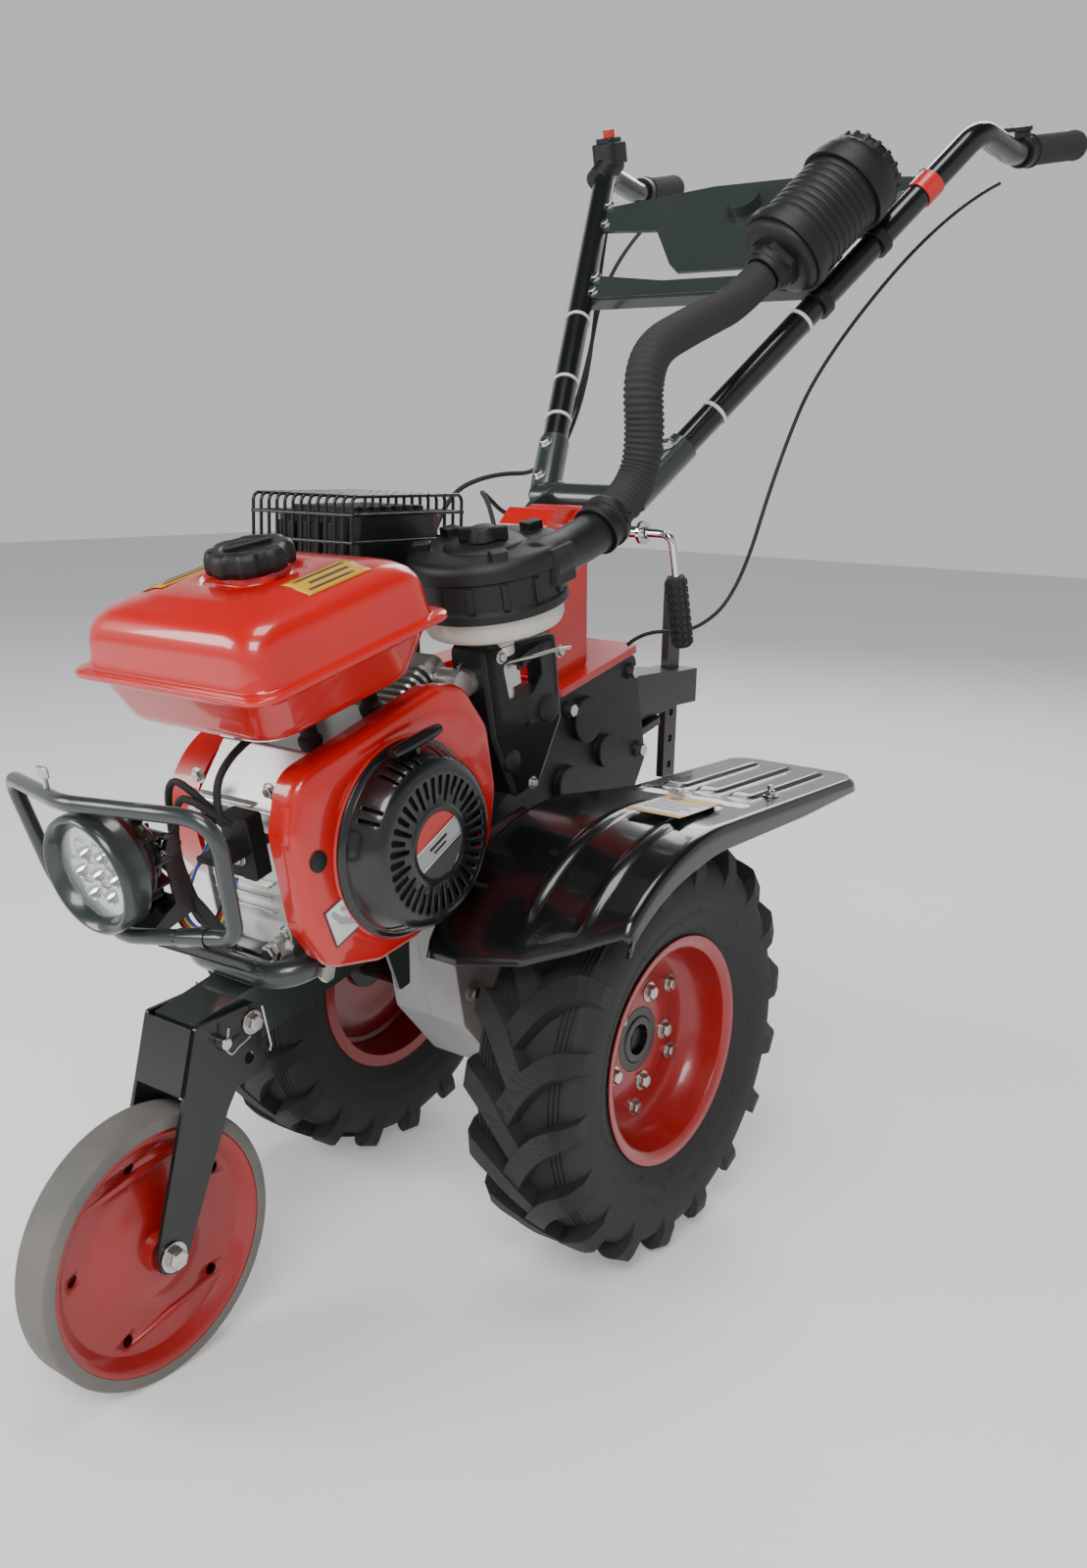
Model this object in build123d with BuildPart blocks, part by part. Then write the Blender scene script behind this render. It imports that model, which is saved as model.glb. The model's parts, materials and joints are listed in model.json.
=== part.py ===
"""Two-wheel walking tiller with a petrol engine, a nose wheel and a tilting handlebar.

Every piece is drawn in a level machine frame: X to the starter side, Y to the rear, Z up, with the wheel
axle at the origin. finish() then tips the machine nose-down about the axle and stands it on the ground.
"""

import math
import os

from build123d import *

os.makedirs("parts", exist_ok=True)

# ---- Stance -------------------------------------------------------------------------------------
tilt = 13.8
axle_y = -87.2

# ---- Running gear -------------------------------------------------------------------------------
wheel_r = 207.0
carcass_r = 189.0
tyre_w = 118.0
tyre_wall = 9.0
bead_r = 100.3
wheel_x = 178.5
lug_count = 18
lug_w = 19.0
lug_lean = 34.0
rim_w = 92.0
rim_flange_r = 113.2
rim_barrel_r = 100.0
rim_t = 2.5
hub_recess = 41.4
hub_plate_r = 33.7
hub_plate_t = 8.0
hub_tube_r = 20.0
hub_tube_l = 92.0
axle_hex_r = 14.0
axle_fit = 0.3
wheel_bolt_count = 5
wheel_bolt_pcd = 96.0
bolt_r = 5.0
bolt_head_r = 8.5
bolt_head_t = 6.0

# ---- Nose wheel ---------------------------------------------------------------------------------
nose_r = 117.9
nose_w = 39.6
nose_tyre_t = 9.0
nose_y = -468.2
nose_z = 23.4
nose_web_t = 3.0
nose_hub_r = 16.0
nose_bolt_r = 6.0
run_fit = 0.06
fork_t = 4.0
fork_x = 28.0
nose_hole_count = 5
nose_hole_r = 5.0
nose_hole_pcd = 160.0

# ---- Chassis ------------------------------------------------------------------------------------
beam_w = 50.0
beam_bottom = 150.0
beam_top = 199.0
beam_t = 4.0
beam_front = -391.0
case_front = -95.0
rail_r = 12.0
rail_x = 62.0
rail_bend = 30.0
cross_y = -318.0
plate_t = 5.0
case_half = 45.0
case_wall = 7.0
case_r = 75.0
case_top = 300.0
case_rear = 262.0
lid_t = 8.0

# ---- Engine -------------------------------------------------------------------------------------
crank_y = -193.3
crank_z = 296.2
block_half = 66.0
shroud_x0 = 76.0
shroud_x1 = 105.4
recoil_r = 86.1
recoil_face_r = 68.3
recoil_face_x = 140.1
sheet = 2.0
tank_x = 36.1
tank_y = -249.6
tank_z = 484.1
tank_w = 226.5
tank_l = 223.0
tank_flange = 8.0
tank_crown = 56.0
cap_x = 36.8
cap_y = -246.3
cleaner_x = 88.1
cleaner_y = -19.1
cleaner_r = 71.7
bowl_r = 64.4
bowl_bottom = 427.1
bowl_top = 455.0
cleaner_top = 503.0
snorkel_x = 141.0
snorkel_z = 498.0
snorkel_r = 20.0
snorkel_end = 84.0

# ---- Belt drive ---------------------------------------------------------------------------------
belt_x = -90.0
belt_w = 12.0
pulley_w = 18.0
engine_pulley_r = 34.0
input_pulley_r = 52.0
input_y = 150.0
input_z = 232.0
idler_y = -20.0
idler_z = 326.5
idler_pivot_y = 80.0
idler_pivot_z = 298.0
cover_margin = 20.0

# ---- Handlebar ----------------------------------------------------------------------------------
pivot_y = 213.0
pivot_z = 449.0
tube_r = 14.0
tube_foot = (29.7, 200.0, 423.7)
tube_head = (256.7, 750.0, 782.5)
sleeve_r = 17.0
grip_start = (254.7, 807.6, 738.0)
grip_end = (280.1, 947.0, 731.8)
grip_r = 16.0
column_half = 30.0

stance = Location((0, axle_y, wheel_r), (tilt, 0, 0))


def finish(piece, label):
    """Tip a finished piece with the machine, label it and write its STEP file."""
    placed = stance * piece
    placed.label = label
    export_step(placed, f"parts/{label}.step")


def bar_x(x0, x1, y, z, r):
    """A round bar along X."""
    with BuildPart() as bar:
        with BuildSketch(Plane.YZ.offset(x0)):
            with Locations((y, z)):
                Circle(r)
        extrude(amount=x1 - x0)
    return bar.part


def bar_z(x, y, z0, z1, r):
    """A round bar along Z."""
    with BuildPart() as bar:
        with BuildSketch(Plane.XY.offset(z0)):
            with Locations((x, y)):
                Circle(r)
        extrude(amount=z1 - z0)
    return bar.part


def bar_between(start, end, r, start_cut=0.0, end_cut=0.0):
    """A round bar from start to end, shortened by the cuts."""
    a = Vector(*start)
    b = Vector(*end)
    along = (b - a).normalized()
    a = a + along * start_cut
    b = b - along * end_cut
    with BuildPart() as bar:
        with BuildSketch(Plane(origin=a, z_dir=along)):
            Circle(r)
        extrude(amount=(b - a).length)
    return bar.part


def hex_bolt_x(x, y, z, out, shank=14.0, r=bolt_r):
    """A hexagon bolt along X whose head sits on the face at x and points out (1 or -1)."""
    with BuildPart() as bolt:
        with BuildSketch(Plane.YZ.offset(x)):
            with Locations((y, z)):
                RegularPolygon(r * 1.7, 6)
        extrude(amount=out * bolt_head_t)
        with BuildSketch(Plane.YZ.offset(x)):
            with Locations((y, z)):
                Circle(r)
        extrude(amount=-out * shank)
    return bolt.part


def slab_x(x0, x1, points, corner=0.0):
    """A plate square to X with a polygon outline of (y, z) points and rounded corners."""
    with BuildPart() as slab:
        with BuildSketch(Plane.YZ.offset(x0)):
            with BuildLine():
                Polyline(*points, close=True)
            make_face()
            if corner > 0:
                fillet(vertices(), corner)
        extrude(amount=x1 - x0)
    return slab.part


def tube_path(points, radii, r):
    """A round bar swept along straight runs joined by arcs."""
    with BuildPart() as tube:
        with BuildLine() as route:
            FilletPolyline(*points, radius=radii)
        with BuildSketch(Plane(origin=points[0], z_dir=route.wire() % 0)):
            Circle(r)
        sweep(path=route.wire())
    return tube.part


def along_tube(distance):
    """The point on the near handlebar tube at a distance from its foot."""
    foot = Vector(*tube_foot)
    run = (Vector(*tube_head) - foot).normalized()
    return foot + run * distance


def mirrored(point):
    """The same point on the far side of the machine."""
    return (-point[0], point[1], point[2])


# ---- Rear wheels --------------------------------------------------------------------------------
def tyre(side):
    """One tyre: a hollow carcass with leaning lugs in two staggered rows."""
    half = tyre_w / 2
    bead_half = rim_w / 2 - rim_t - 0.4
    with BuildPart() as body:
        with BuildSketch(Plane.XZ):
            with BuildLine():
                Polyline(
                    (wheel_x - bead_half, bead_r),
                    (wheel_x - bead_half, rim_flange_r + 0.6),
                    (wheel_x - half + 5, bead_r + 26),
                    (wheel_x - half, bead_r + 45),
                    (wheel_x - half + 6, carcass_r - 10),
                    (wheel_x - half + 22, carcass_r - 1),
                    (wheel_x, carcass_r + 2),
                    (wheel_x + half - 22, carcass_r - 1),
                    (wheel_x + half - 6, carcass_r - 10),
                    (wheel_x + half, bead_r + 45),
                    (wheel_x + half - 5, bead_r + 26),
                    (wheel_x + bead_half, rim_flange_r + 0.6),
                    (wheel_x + bead_half, bead_r),
                    close=True,
                )
            make_face()
        revolve(axis=Axis.X)
        with BuildSketch(Plane.XZ):
            with BuildLine():
                Polyline(
                    (wheel_x - half + 22, bead_r + 20),
                    (wheel_x - half + tyre_wall, bead_r + 45),
                    (wheel_x - half + 17, carcass_r - 20),
                    (wheel_x, carcass_r - tyre_wall),
                    (wheel_x + half - 17, carcass_r - 20),
                    (wheel_x + half - tyre_wall, bead_r + 45),
                    (wheel_x + half - 22, bead_r + 20),
                    close=True,
                )
            make_face()
        revolve(axis=Axis.X, mode=Mode.SUBTRACT)
    lug_l = half + 4
    with BuildPart() as lug:
        with BuildSketch(Plane.XY.offset(carcass_r - 8)):
            with BuildLine():
                Polyline(
                    (wheel_x + 4, -lug_w / 2),
                    (wheel_x + half - 2, -lug_w / 2 + lug_l * math.tan(math.radians(lug_lean)) - 6),
                    (wheel_x + half - 2, lug_w / 2 + lug_l * math.tan(math.radians(lug_lean))),
                    (wheel_x + 4, lug_w / 2),
                    close=True,
                )
            make_face()
        extrude(amount=wheel_r - carcass_r + 7, taper=7)
        add(bar_x(0, 2 * wheel_x, 0, 0, wheel_r), mode=Mode.INTERSECT)
    pitch = 360 / lug_count
    mirror_lug = lug.part.mirror(Plane.YZ.offset(wheel_x))
    ring = body.part
    for i in range(lug_count):
        ring = ring + Rot(i * pitch, 0, 0) * lug.part
        ring = ring + Rot((i + 0.5) * pitch, 0, 0) * mirror_lug
    return ring if side > 0 else ring.mirror(Plane.YZ)


def wheel_rim(side):
    """One pressed rim: barrel, rolled flanges and a dished web with bolt holes."""
    inner = wheel_x - rim_w / 2
    outer = wheel_x + rim_w / 2
    web_x = outer - hub_recess - hub_plate_t
    with BuildPart() as rim:
        with BuildSketch(Plane.XZ):
            with BuildLine():
                Polyline(
                    (inner, rim_flange_r),
                    (inner, rim_barrel_r - rim_t),
                    (wheel_x - 14, rim_barrel_r - 12),
                    (wheel_x + 14, rim_barrel_r - 12),
                    (outer, rim_barrel_r - rim_t),
                    (outer, rim_flange_r),
                    (outer - rim_t, rim_flange_r),
                    (outer - rim_t, rim_barrel_r),
                    (wheel_x + 15, rim_barrel_r - 9),
                    (wheel_x - 15, rim_barrel_r - 9),
                    (inner + rim_t, rim_barrel_r),
                    (inner + rim_t, rim_flange_r),
                    close=True,
                )
            make_face()
            with BuildLine():
                Polyline(
                    (web_x - 4, hub_tube_r + 2),
                    (web_x, hub_tube_r + 2),
                    (web_x, 62),
                    (web_x + 8, 72),
                    (web_x + 8, rim_barrel_r - 11),
                    (web_x + 4, rim_barrel_r - 11),
                    (web_x + 4, 74),
                    (web_x - 4, 64),
                    close=True,
                )
            make_face()
        revolve(axis=Axis.X)
        with BuildSketch(Plane.YZ.offset(web_x - 6)):
            with PolarLocations(wheel_bolt_pcd / 2, wheel_bolt_count, start_angle=54):
                Circle(bolt_r + axle_fit)
        extrude(amount=16, mode=Mode.SUBTRACT)
    return rim.part if side > 0 else rim.part.mirror(Plane.YZ)


def wheel_hub(side):
    """One hub: a flanged sleeve with a hexagon bore that slides over the axle."""
    face = wheel_x + rim_w / 2 - hub_recess
    with BuildPart() as hub:
        with BuildSketch(Plane.YZ.offset(face - hub_plate_t)):
            Circle(hub_plate_r)
        extrude(amount=hub_plate_t)
        with BuildSketch(Plane.YZ.offset(face - hub_plate_t)):
            Circle(hub_tube_r)
        extrude(amount=hub_plate_t - hub_tube_l)
        with BuildSketch(Plane.YZ.offset(face + 1)):
            RegularPolygon(axle_hex_r + axle_fit, 6)
        extrude(amount=-hub_tube_l - 2, mode=Mode.SUBTRACT)
    return hub.part if side > 0 else hub.part.mirror(Plane.YZ)


finish(Compound([tyre(1), tyre(-1)]), "tyres")
finish(Compound([wheel_rim(1), wheel_rim(-1)]), "wheel_rims")
finish(Compound([wheel_hub(1), wheel_hub(-1)]), "wheel_hubs")

hub_face = wheel_x + rim_w / 2 - hub_recess
bolt_set = []
for side in (1, -1):
    for i in range(wheel_bolt_count):
        angle = math.radians(54 + i * 360 / wheel_bolt_count)
        bolt_y = wheel_bolt_pcd / 2 * math.cos(angle)
        bolt_z = wheel_bolt_pcd / 2 * math.sin(angle)
        bolt_set.append(hex_bolt_x(side * (hub_face - hub_plate_t), bolt_y, bolt_z, side, 12))
finish(Compound(bolt_set), "wheel_bolts")

with BuildPart() as drive_axle:
    with BuildSketch(Plane.YZ.offset(-hub_face + 4)):
        RegularPolygon(axle_hex_r, 6)
    extrude(amount=2 * (hub_face - 4))
    with BuildSketch(Plane.YZ.offset(-case_half - 12)):
        Circle(axle_hex_r + 3)
    extrude(amount=2 * (case_half + 12))
    with BuildSketch(Plane.YZ.offset(-10)):
        Circle(54)
        with PolarLocations(54, 24):
            Circle(3.4, mode=Mode.SUBTRACT)
    extrude(amount=20)
finish(drive_axle.part, "drive_axle")

# ---- Gear case and red handlebar column ----------------------------------------------------------
case_outline = [
    (case_front, 190),
    (case_front, 30),
    (-50, -50),
    (10, -72),
    (62, -48),
    (150, 62),
    (case_rear, 176),
    (case_rear, case_top),
    (112, case_top),
    (20, 236),
]
case_hollow = [
    (case_front + case_wall, 183),
    (case_front + case_wall, 34),
    (-46, -42),
    (8, -64),
    (56, -42),
    (145, 68),
    (case_rear - case_wall, 180),
    (case_rear - case_wall, case_top - case_wall),
    (114, case_top - case_wall),
    (24, 229),
]
case_seam = 0.0
case_bolt_places = [(-78, 168), (-78, 60), (80, -4), (248, 190), (130, 282), (248, 282)]


def case_half_shell(side):
    """One half of the gear case, with axle and input-shaft bores and side bosses."""
    with BuildPart() as half:
        add(slab_x(case_seam, case_half, case_outline, 12))
        add(slab_x(case_seam, case_half - case_wall, case_hollow, 8), mode=Mode.SUBTRACT)
        for boss_y, boss_z in case_bolt_places:
            add(bar_x(case_seam, case_half + 3, boss_y, boss_z, 9))
        add(bar_x(case_half - case_wall, case_half + 10, 0, 0, 38))
        for boss_y, boss_z, boss_r in ((155, 262, 24), (112, 205, 20), (185, 214, 18)):
            add(bar_x(case_half - case_wall, case_half + 8, boss_y, boss_z, boss_r))
        add(bar_x(-1, case_half + 12, 0, 0, axle_hex_r + 3 + run_fit), mode=Mode.SUBTRACT)
    part = half.part
    if side < 0:
        part = part.mirror(Plane.YZ)
        part = part - bar_x(-case_half - 12, 1, input_y, input_z, 10 + run_fit)
    return part


finish(Compound([case_half_shell(1), case_half_shell(-1)]), "gear_case")

with BuildPart() as steering_column:
    with BuildSketch(Plane.XY.offset(case_top + 0.2)):
        with Locations((0, (118 + case_rear) / 2)):
            RectangleRounded(2 * case_half + 8, case_rear - 112, 8)
    extrude(amount=lid_t)
    add(
        slab_x(
            -column_half,
            column_half,
            [(128, case_top + lid_t), (192, case_top + lid_t), (214, 420), (214, 470), (170, 482), (150, 470)],
            6,
        )
    )
    add(
        slab_x(
            -column_half + 5,
            column_half - 5,
            [(136, case_top + lid_t + 6), (184, case_top + lid_t + 6), (202, 420), (188, 428), (160, 462)],
            3,
        ),
        mode=Mode.SUBTRACT,
    )
    add(bar_x(-column_half - 4, column_half + 4, pivot_y, pivot_z, 24))
    add(bar_x(-column_half - 5, column_half + 5, pivot_y, pivot_z, 8 + 0.3), mode=Mode.SUBTRACT)
finish(steering_column.part, "steering_column")

# ---- Chassis frame ------------------------------------------------------------------------------
fork_pins = [(-375, 177), (-339, 175)]
rail_z = beam_top + rail_r
rail_end = 20.0
with BuildPart() as chassis_frame:
    add(
        tube_path(
            [(-rail_x, rail_end, rail_z), (-rail_x, cross_y, rail_z), (rail_x, cross_y, rail_z), (rail_x, rail_end, rail_z)],
            rail_bend,
            rail_r,
        )
    )
    with BuildSketch(Plane.XZ.offset(-beam_front)):
        with Locations((0, (beam_bottom + beam_top) / 2)):
            Rectangle(beam_w, beam_top - beam_bottom)
            Rectangle(beam_w - 2 * beam_t, beam_top - beam_bottom - 2 * beam_t, mode=Mode.SUBTRACT)
    extrude(amount=beam_front - case_front + 0.2)
    with BuildSketch(Plane.XY.offset(beam_top - 1)):
        with Locations((0, cross_y)):
            Rectangle(beam_w - 6, 10)
    extrude(amount=3)
    for side in (1, -1):
        add(slab_x(side * 24, side * rail_x, [(-110, 184), (-150, 184), (-150, 199), (-110, 199)]))
        add(slab_x(side * (rail_x - 14), side * rail_x, [(-110, 186), (-150, 186), (-150, 206), (-110, 206)]))
        add(slab_x(side * case_half, side * (rail_x + 2), [(-70, rail_z - 6), (-10, rail_z - 6), (-10, rail_z + 6), (-70, rail_z + 6)]))
        add(slab_x(side * 58, side * 62, [(-205, rail_z), (-160, rail_z), (-176, 130), (-190, 130)], 3))
        add(bar_between((side * 30, cross_y, rail_z + 4), (side * 30, -413, 296), 6, 0, 10.0))
    for pin_y, pin_z in fork_pins:
        add(bar_x(-beam_w, beam_w, pin_y, pin_z, bolt_r + 0.3), mode=Mode.SUBTRACT)
    for foot_x in (-35, 35):
        add(bar_z(foot_x, -137, beam_top - 16, beam_top + 1, 4.4), mode=Mode.SUBTRACT)
finish(chassis_frame.part, "chassis_frame")

slot_l = 22.0
with BuildPart() as engine_plate:
    with BuildSketch(Plane.XY.offset(beam_top + 0.2)):
        with Locations((0, -212)):
            RectangleRounded(86, 172, 12)
            with GridLocations(70, 150, 2, 2):
                SlotOverall(slot_l, 9, mode=Mode.SUBTRACT)
    extrude(amount=plate_t)
finish(engine_plate.part, "engine_plate")
foot_z = beam_top + 0.2 + plate_t

# ---- Nose fork and wheel -------------------------------------------------------------------------
fork_outline = [
    (-395, 201), (-330, 190), (-333, 125), (-368, 127), (-382, 113), (-455, 12), (-468, 6), (-482, 14), (-482, 32), (-421, 149),
]
with BuildPart() as nose_fork:
    for side in (1, -1):
        add(slab_x(side * fork_x, side * (fork_x + fork_t), fork_outline, 4))
    add(slab_x(-fork_x - 1, fork_x + 1, [(-398, 200.5), (-394, 198), (-419.5, 147.5), (-423.5, 150)]))
    for pin_y, pin_z in fork_pins:
        add(bar_x(-fork_x - 6, fork_x + 6, pin_y, pin_z, bolt_r + 0.3), mode=Mode.SUBTRACT)
    add(bar_x(-fork_x - 6, fork_x + 6, -349, 145, 5.5), mode=Mode.SUBTRACT)
    add(bar_x(-fork_x - 6, fork_x + 6, nose_y, nose_z, nose_bolt_r + 0.05), mode=Mode.SUBTRACT)
finish(nose_fork.part, "nose_fork")

with BuildPart() as nose_wheel_disc:
    with BuildSketch(Plane.XZ.offset(-nose_y)):
        with BuildLine():
            Polyline(
                (nose_w / 2 - 3, nose_z + nose_r - nose_tyre_t),
                (nose_w / 2 - 3, nose_z + nose_r - nose_tyre_t - 8),
                (2, nose_z + 66),
                (9, nose_z + 36),
                (9, nose_z + nose_hub_r),
                (nose_w / 2 + 5, nose_z + nose_hub_r),
                (nose_w / 2 + 5, nose_z + nose_bolt_r + run_fit),
                (-nose_w / 2 - 5, nose_z + nose_bolt_r + run_fit),
                (-nose_w / 2 - 5, nose_z + nose_hub_r),
                (5, nose_z + nose_hub_r),
                (5, nose_z + 36),
                (-2, nose_z + 66),
                (nose_w / 2 - 7, nose_z + nose_r - nose_tyre_t - 8),
                (-nose_w / 2 + 3, nose_z + nose_r - nose_tyre_t - 4),
                (-nose_w / 2 + 3, nose_z + nose_r - nose_tyre_t),
                close=True,
            )
        make_face()
    revolve(axis=Axis((0, nose_y, nose_z), (1, 0, 0)))
    with BuildSketch(Plane.YZ.offset(-nose_w)):
        with Locations((nose_y, nose_z)):
            with PolarLocations(nose_hole_pcd / 2, nose_hole_count, start_angle=75):
                Circle(nose_hole_r)
    extrude(amount=2 * nose_w, mode=Mode.SUBTRACT)
finish(nose_wheel_disc.part, "nose_wheel_disc")

with BuildPart() as nose_wheel_tyre:
    with BuildSketch(Plane.YZ.offset(-nose_w / 2)):
        with Locations((nose_y, nose_z)):
            Circle(nose_r)
            Circle(nose_r - nose_tyre_t + 0.1, mode=Mode.SUBTRACT)
    extrude(amount=nose_w)
    fillet(edges().filter_by(GeomType.CIRCLE).sort_by(SortBy.RADIUS)[-2:], 2.5)
finish(nose_wheel_tyre.part, "nose_wheel_tyre")

# ---- Fenders ------------------------------------------------------------------------------------
fender_r = 232.0
fender_inner = 84.0
fender_inner_far = 115.0
fender_outer = 270.0
fender_slope = tilt
fender_rear = 335.0
fender_front_angle = 133.0


def fender(side, inner_x):
    """One mudguard: an arc over the tyre, a straight rear flare, a turned-down edge and ribs."""
    slope = math.radians(fender_slope)
    knee = (fender_r * math.sin(slope), fender_r * math.cos(slope))
    run = (fender_rear - knee[0]) / math.cos(slope)
    tail = (fender_rear, knee[1] - run * math.sin(slope))
    front = math.radians(fender_front_angle)
    nose = (fender_r * math.cos(front), fender_r * math.sin(front))
    top = (0, fender_r)
    inner = (knee[0] - sheet * math.sin(slope), knee[1] - sheet * math.cos(slope))
    with BuildPart() as skin:
        with BuildSketch(Plane.YZ.offset(inner_x)):
            with BuildLine():
                ThreePointArc(nose, top, knee)
                Line(knee, tail)
                Line(tail, (tail[0] - sheet * math.sin(slope), tail[1] - sheet * math.cos(slope)))
                Line((tail[0] - sheet * math.sin(slope), tail[1] - sheet * math.cos(slope)), inner)
                low = fender_r - sheet
                ThreePointArc(inner, (0, low), (low * math.cos(front), low * math.sin(front)))
                Line((low * math.cos(front), low * math.sin(front)), nose)
            make_face()
        extrude(amount=fender_outer - inner_x)
        lip_r = fender_r - 36
        with BuildSketch(Plane.YZ.offset(fender_outer - sheet)):
            with BuildLine():
                ThreePointArc(nose, top, knee)
                Line(knee, tail)
                Line(tail, (tail[0] - 3, tail[1] - 14))
                Line((tail[0] - 3, tail[1] - 14), (205, 150))
                Line((205, 150), (80, lip_r - 8))
                ThreePointArc((80, lip_r - 8), (0, lip_r - 2), (-75, lip_r - 12))
                Line((-75, lip_r - 12), nose)
            make_face()
        extrude(amount=sheet)
        for rib_x in (136, 182, 228):
            with BuildSketch(Plane.YZ.offset(rib_x - 7)):
                with BuildLine():
                    Polyline(
                        (knee[0] + 100, knee[1] - 100 * math.tan(slope) - 1),
                        (knee[0] + 108, knee[1] - 108 * math.tan(slope) + 4),
                        (fender_rear - 26, knee[1] - (fender_rear - 26 - knee[0]) * math.tan(slope) + 4),
                        (fender_rear - 18, knee[1] - (fender_rear - 18 - knee[0]) * math.tan(slope) - 1),
                        close=True,
                    )
                make_face()
            extrude(amount=14)
        if side > 0:
            add(slab_x(rail_x + rail_r + 0.2, inner_x + 2, [(-120, 206), (-84, 208), (-84, 214), (-120, 212)]))
        else:
            add(slab_x(rail_x - 12, inner_x + 3, [(-106, 176), (-72, 176), (-72, 182), (-106, 182)]))
            add(slab_x(rail_x - 12, rail_x + 12, [(-106, 178), (-72, 178), (-72, 198.8), (-106, 198.8)]))
            add(slab_x(inner_x, inner_x + 3, [(-106, 178), (-72, 178), (-72, 217), (-106, 203)]))
    return skin.part if side > 0 else skin.part.mirror(Plane.YZ)


finish(fender(1, fender_inner), "fender_near")
finish(fender(-1, fender_inner_far), "fender_far")

# ---- Hitch and depth stake ------------------------------------------------------------------------
stake_y = 392.0
stake_z = 208.0
stake_w = 26.0
stake_t = 9.0
stake_up = 122.0
stake_down = 110.0
stake_hole_r = 4.5
hitch_half = 22.0
hitch_pin_r = 6.5
stake_plane = Plane(origin=(0, stake_y, stake_z), x_dir=(1, 0, 0), z_dir=(0, -math.sin(math.radians(tilt)), -math.cos(math.radians(tilt))))
# The stake is upright when the machine stands nose-down, so its own axis leans by the tilt.
stake_axis = Vector(0, math.sin(math.radians(tilt)), math.cos(math.radians(tilt)))
with BuildPart() as depth_stake:
    with BuildSketch(Plane(origin=Vector(0, stake_y, stake_z) - stake_axis * stake_down, x_dir=(1, 0, 0), z_dir=stake_axis)):
        Rectangle(stake_t, stake_w)
    extrude(amount=stake_up + stake_down)
    for step in (-96, -64, -32, 62, 92):
        with BuildSketch(Plane(origin=Vector(-stake_t, stake_y, stake_z) + stake_axis * step, x_dir=(0, 1, 0), z_dir=(1, 0, 0))):
            Circle(stake_hole_r)
        extrude(amount=2 * stake_t, mode=Mode.SUBTRACT)
finish(depth_stake.part, "depth_stake")

with BuildPart() as hitch_bracket:
    add(slab_x(-hitch_half, hitch_half, [(case_rear + 0.2, 205), (case_rear + 0.2, 262), (case_rear + 12, 262), (stake_y - 20, 236), (stake_y - 27, 192), (case_rear + 12, 205)]))
    add(slab_x(-hitch_half + 6, hitch_half - 6, [(case_rear + 14, 211), (case_rear + 14, 254), (stake_y - 32, 231), (stake_y - 37, 200)]), mode=Mode.SUBTRACT)
    with BuildSketch(Plane(origin=Vector(0, stake_y, stake_z) - stake_axis * 20, x_dir=(1, 0, 0), z_dir=stake_axis)):
        Rectangle(2 * hitch_half, 52)
        Rectangle(stake_t + 1, stake_w + 1, mode=Mode.SUBTRACT)
    extrude(amount=40)
    with BuildSketch(Plane.XY.offset(190)):
        with Locations((0, case_rear + 34)):
            RectangleRounded(60, 60, 8)
            Circle(hitch_pin_r, mode=Mode.SUBTRACT)
    extrude(amount=8)
    add(slab_x(-12, 12, [(case_rear + 5, 197), (case_rear + 62, 197), (case_rear + 62, 212), (case_rear + 5, 212)]))
    add(bar_z(0, case_rear + 34, 180, 206, hitch_pin_r), mode=Mode.SUBTRACT)
finish(hitch_bracket.part, "hitch_bracket")

# ---- Bumper and headlamp --------------------------------------------------------------------------
bumper_r = 7.5
lamp_y = -426.8
lamp_z = 354.4
lamp_r = 51.0
bumper_foot = (60, -409, 300.5)
bumper_top = (60, -419, 412.2)
with BuildPart() as bumper:
    add(
        tube_path(
            [bumper_foot, (4, -418, 293), (-114, -394, 303), (-125, -405, 404), (-10, -437, 415), bumper_top],
            [60, 26, 18, 60],
            bumper_r,
        )
    )
    add(tube_path([bumper_top, (125, -403, 410), (116, -400, 308), bumper_foot], [40, 28], bumper_r))
finish(bumper.part, "bumper")

with BuildPart() as headlamp_housing:
    with BuildSketch(Plane.YZ):
        with BuildLine():
            Polyline((lamp_y + 6, lamp_z), (lamp_y + 6, lamp_z + lamp_r - 7), (lamp_y + 20, lamp_z + lamp_r - 8), (lamp_y + 40, lamp_z + lamp_r - 22), (lamp_y + 48, lamp_z + 18), (lamp_y + 48, lamp_z), close=True)
        make_face()
    revolve(axis=Axis((0, lamp_y, lamp_z), (0, 1, 0)))
    with BuildSketch(Plane.YZ):
        with BuildLine():
            Polyline((lamp_y, lamp_z), (lamp_y, lamp_z + lamp_r - 10), (lamp_y + 20, lamp_z + lamp_r - 12), (lamp_y + 30, lamp_z + 12), (lamp_y + 30, lamp_z), close=True)
        make_face()
    revolve(axis=Axis((0, lamp_y, lamp_z), (0, 1, 0)), mode=Mode.SUBTRACT)
    add(bar_x(-14, 14, lamp_y + 56, lamp_z, 9))
    add(bar_x(-16, 16, lamp_y + 56, lamp_z, 4 + run_fit), mode=Mode.SUBTRACT)
finish(headlamp_housing.part, "headlamp_housing")

with BuildPart() as headlamp_bezel:
    with BuildSketch(Plane.YZ):
        with BuildLine():
            Polyline((lamp_y - 14, lamp_z + lamp_r - 9), (lamp_y - 14, lamp_z + lamp_r - 2), (lamp_y + 6, lamp_z + lamp_r), (lamp_y + 10, lamp_z + lamp_r), (lamp_y + 10, lamp_z + lamp_r - 6.7), (lamp_y - 10, lamp_z + lamp_r - 9), close=True)
        make_face()
    revolve(axis=Axis((0, lamp_y, lamp_z), (0, 1, 0)))
finish(headlamp_bezel.part, "headlamp_bezel")

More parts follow.
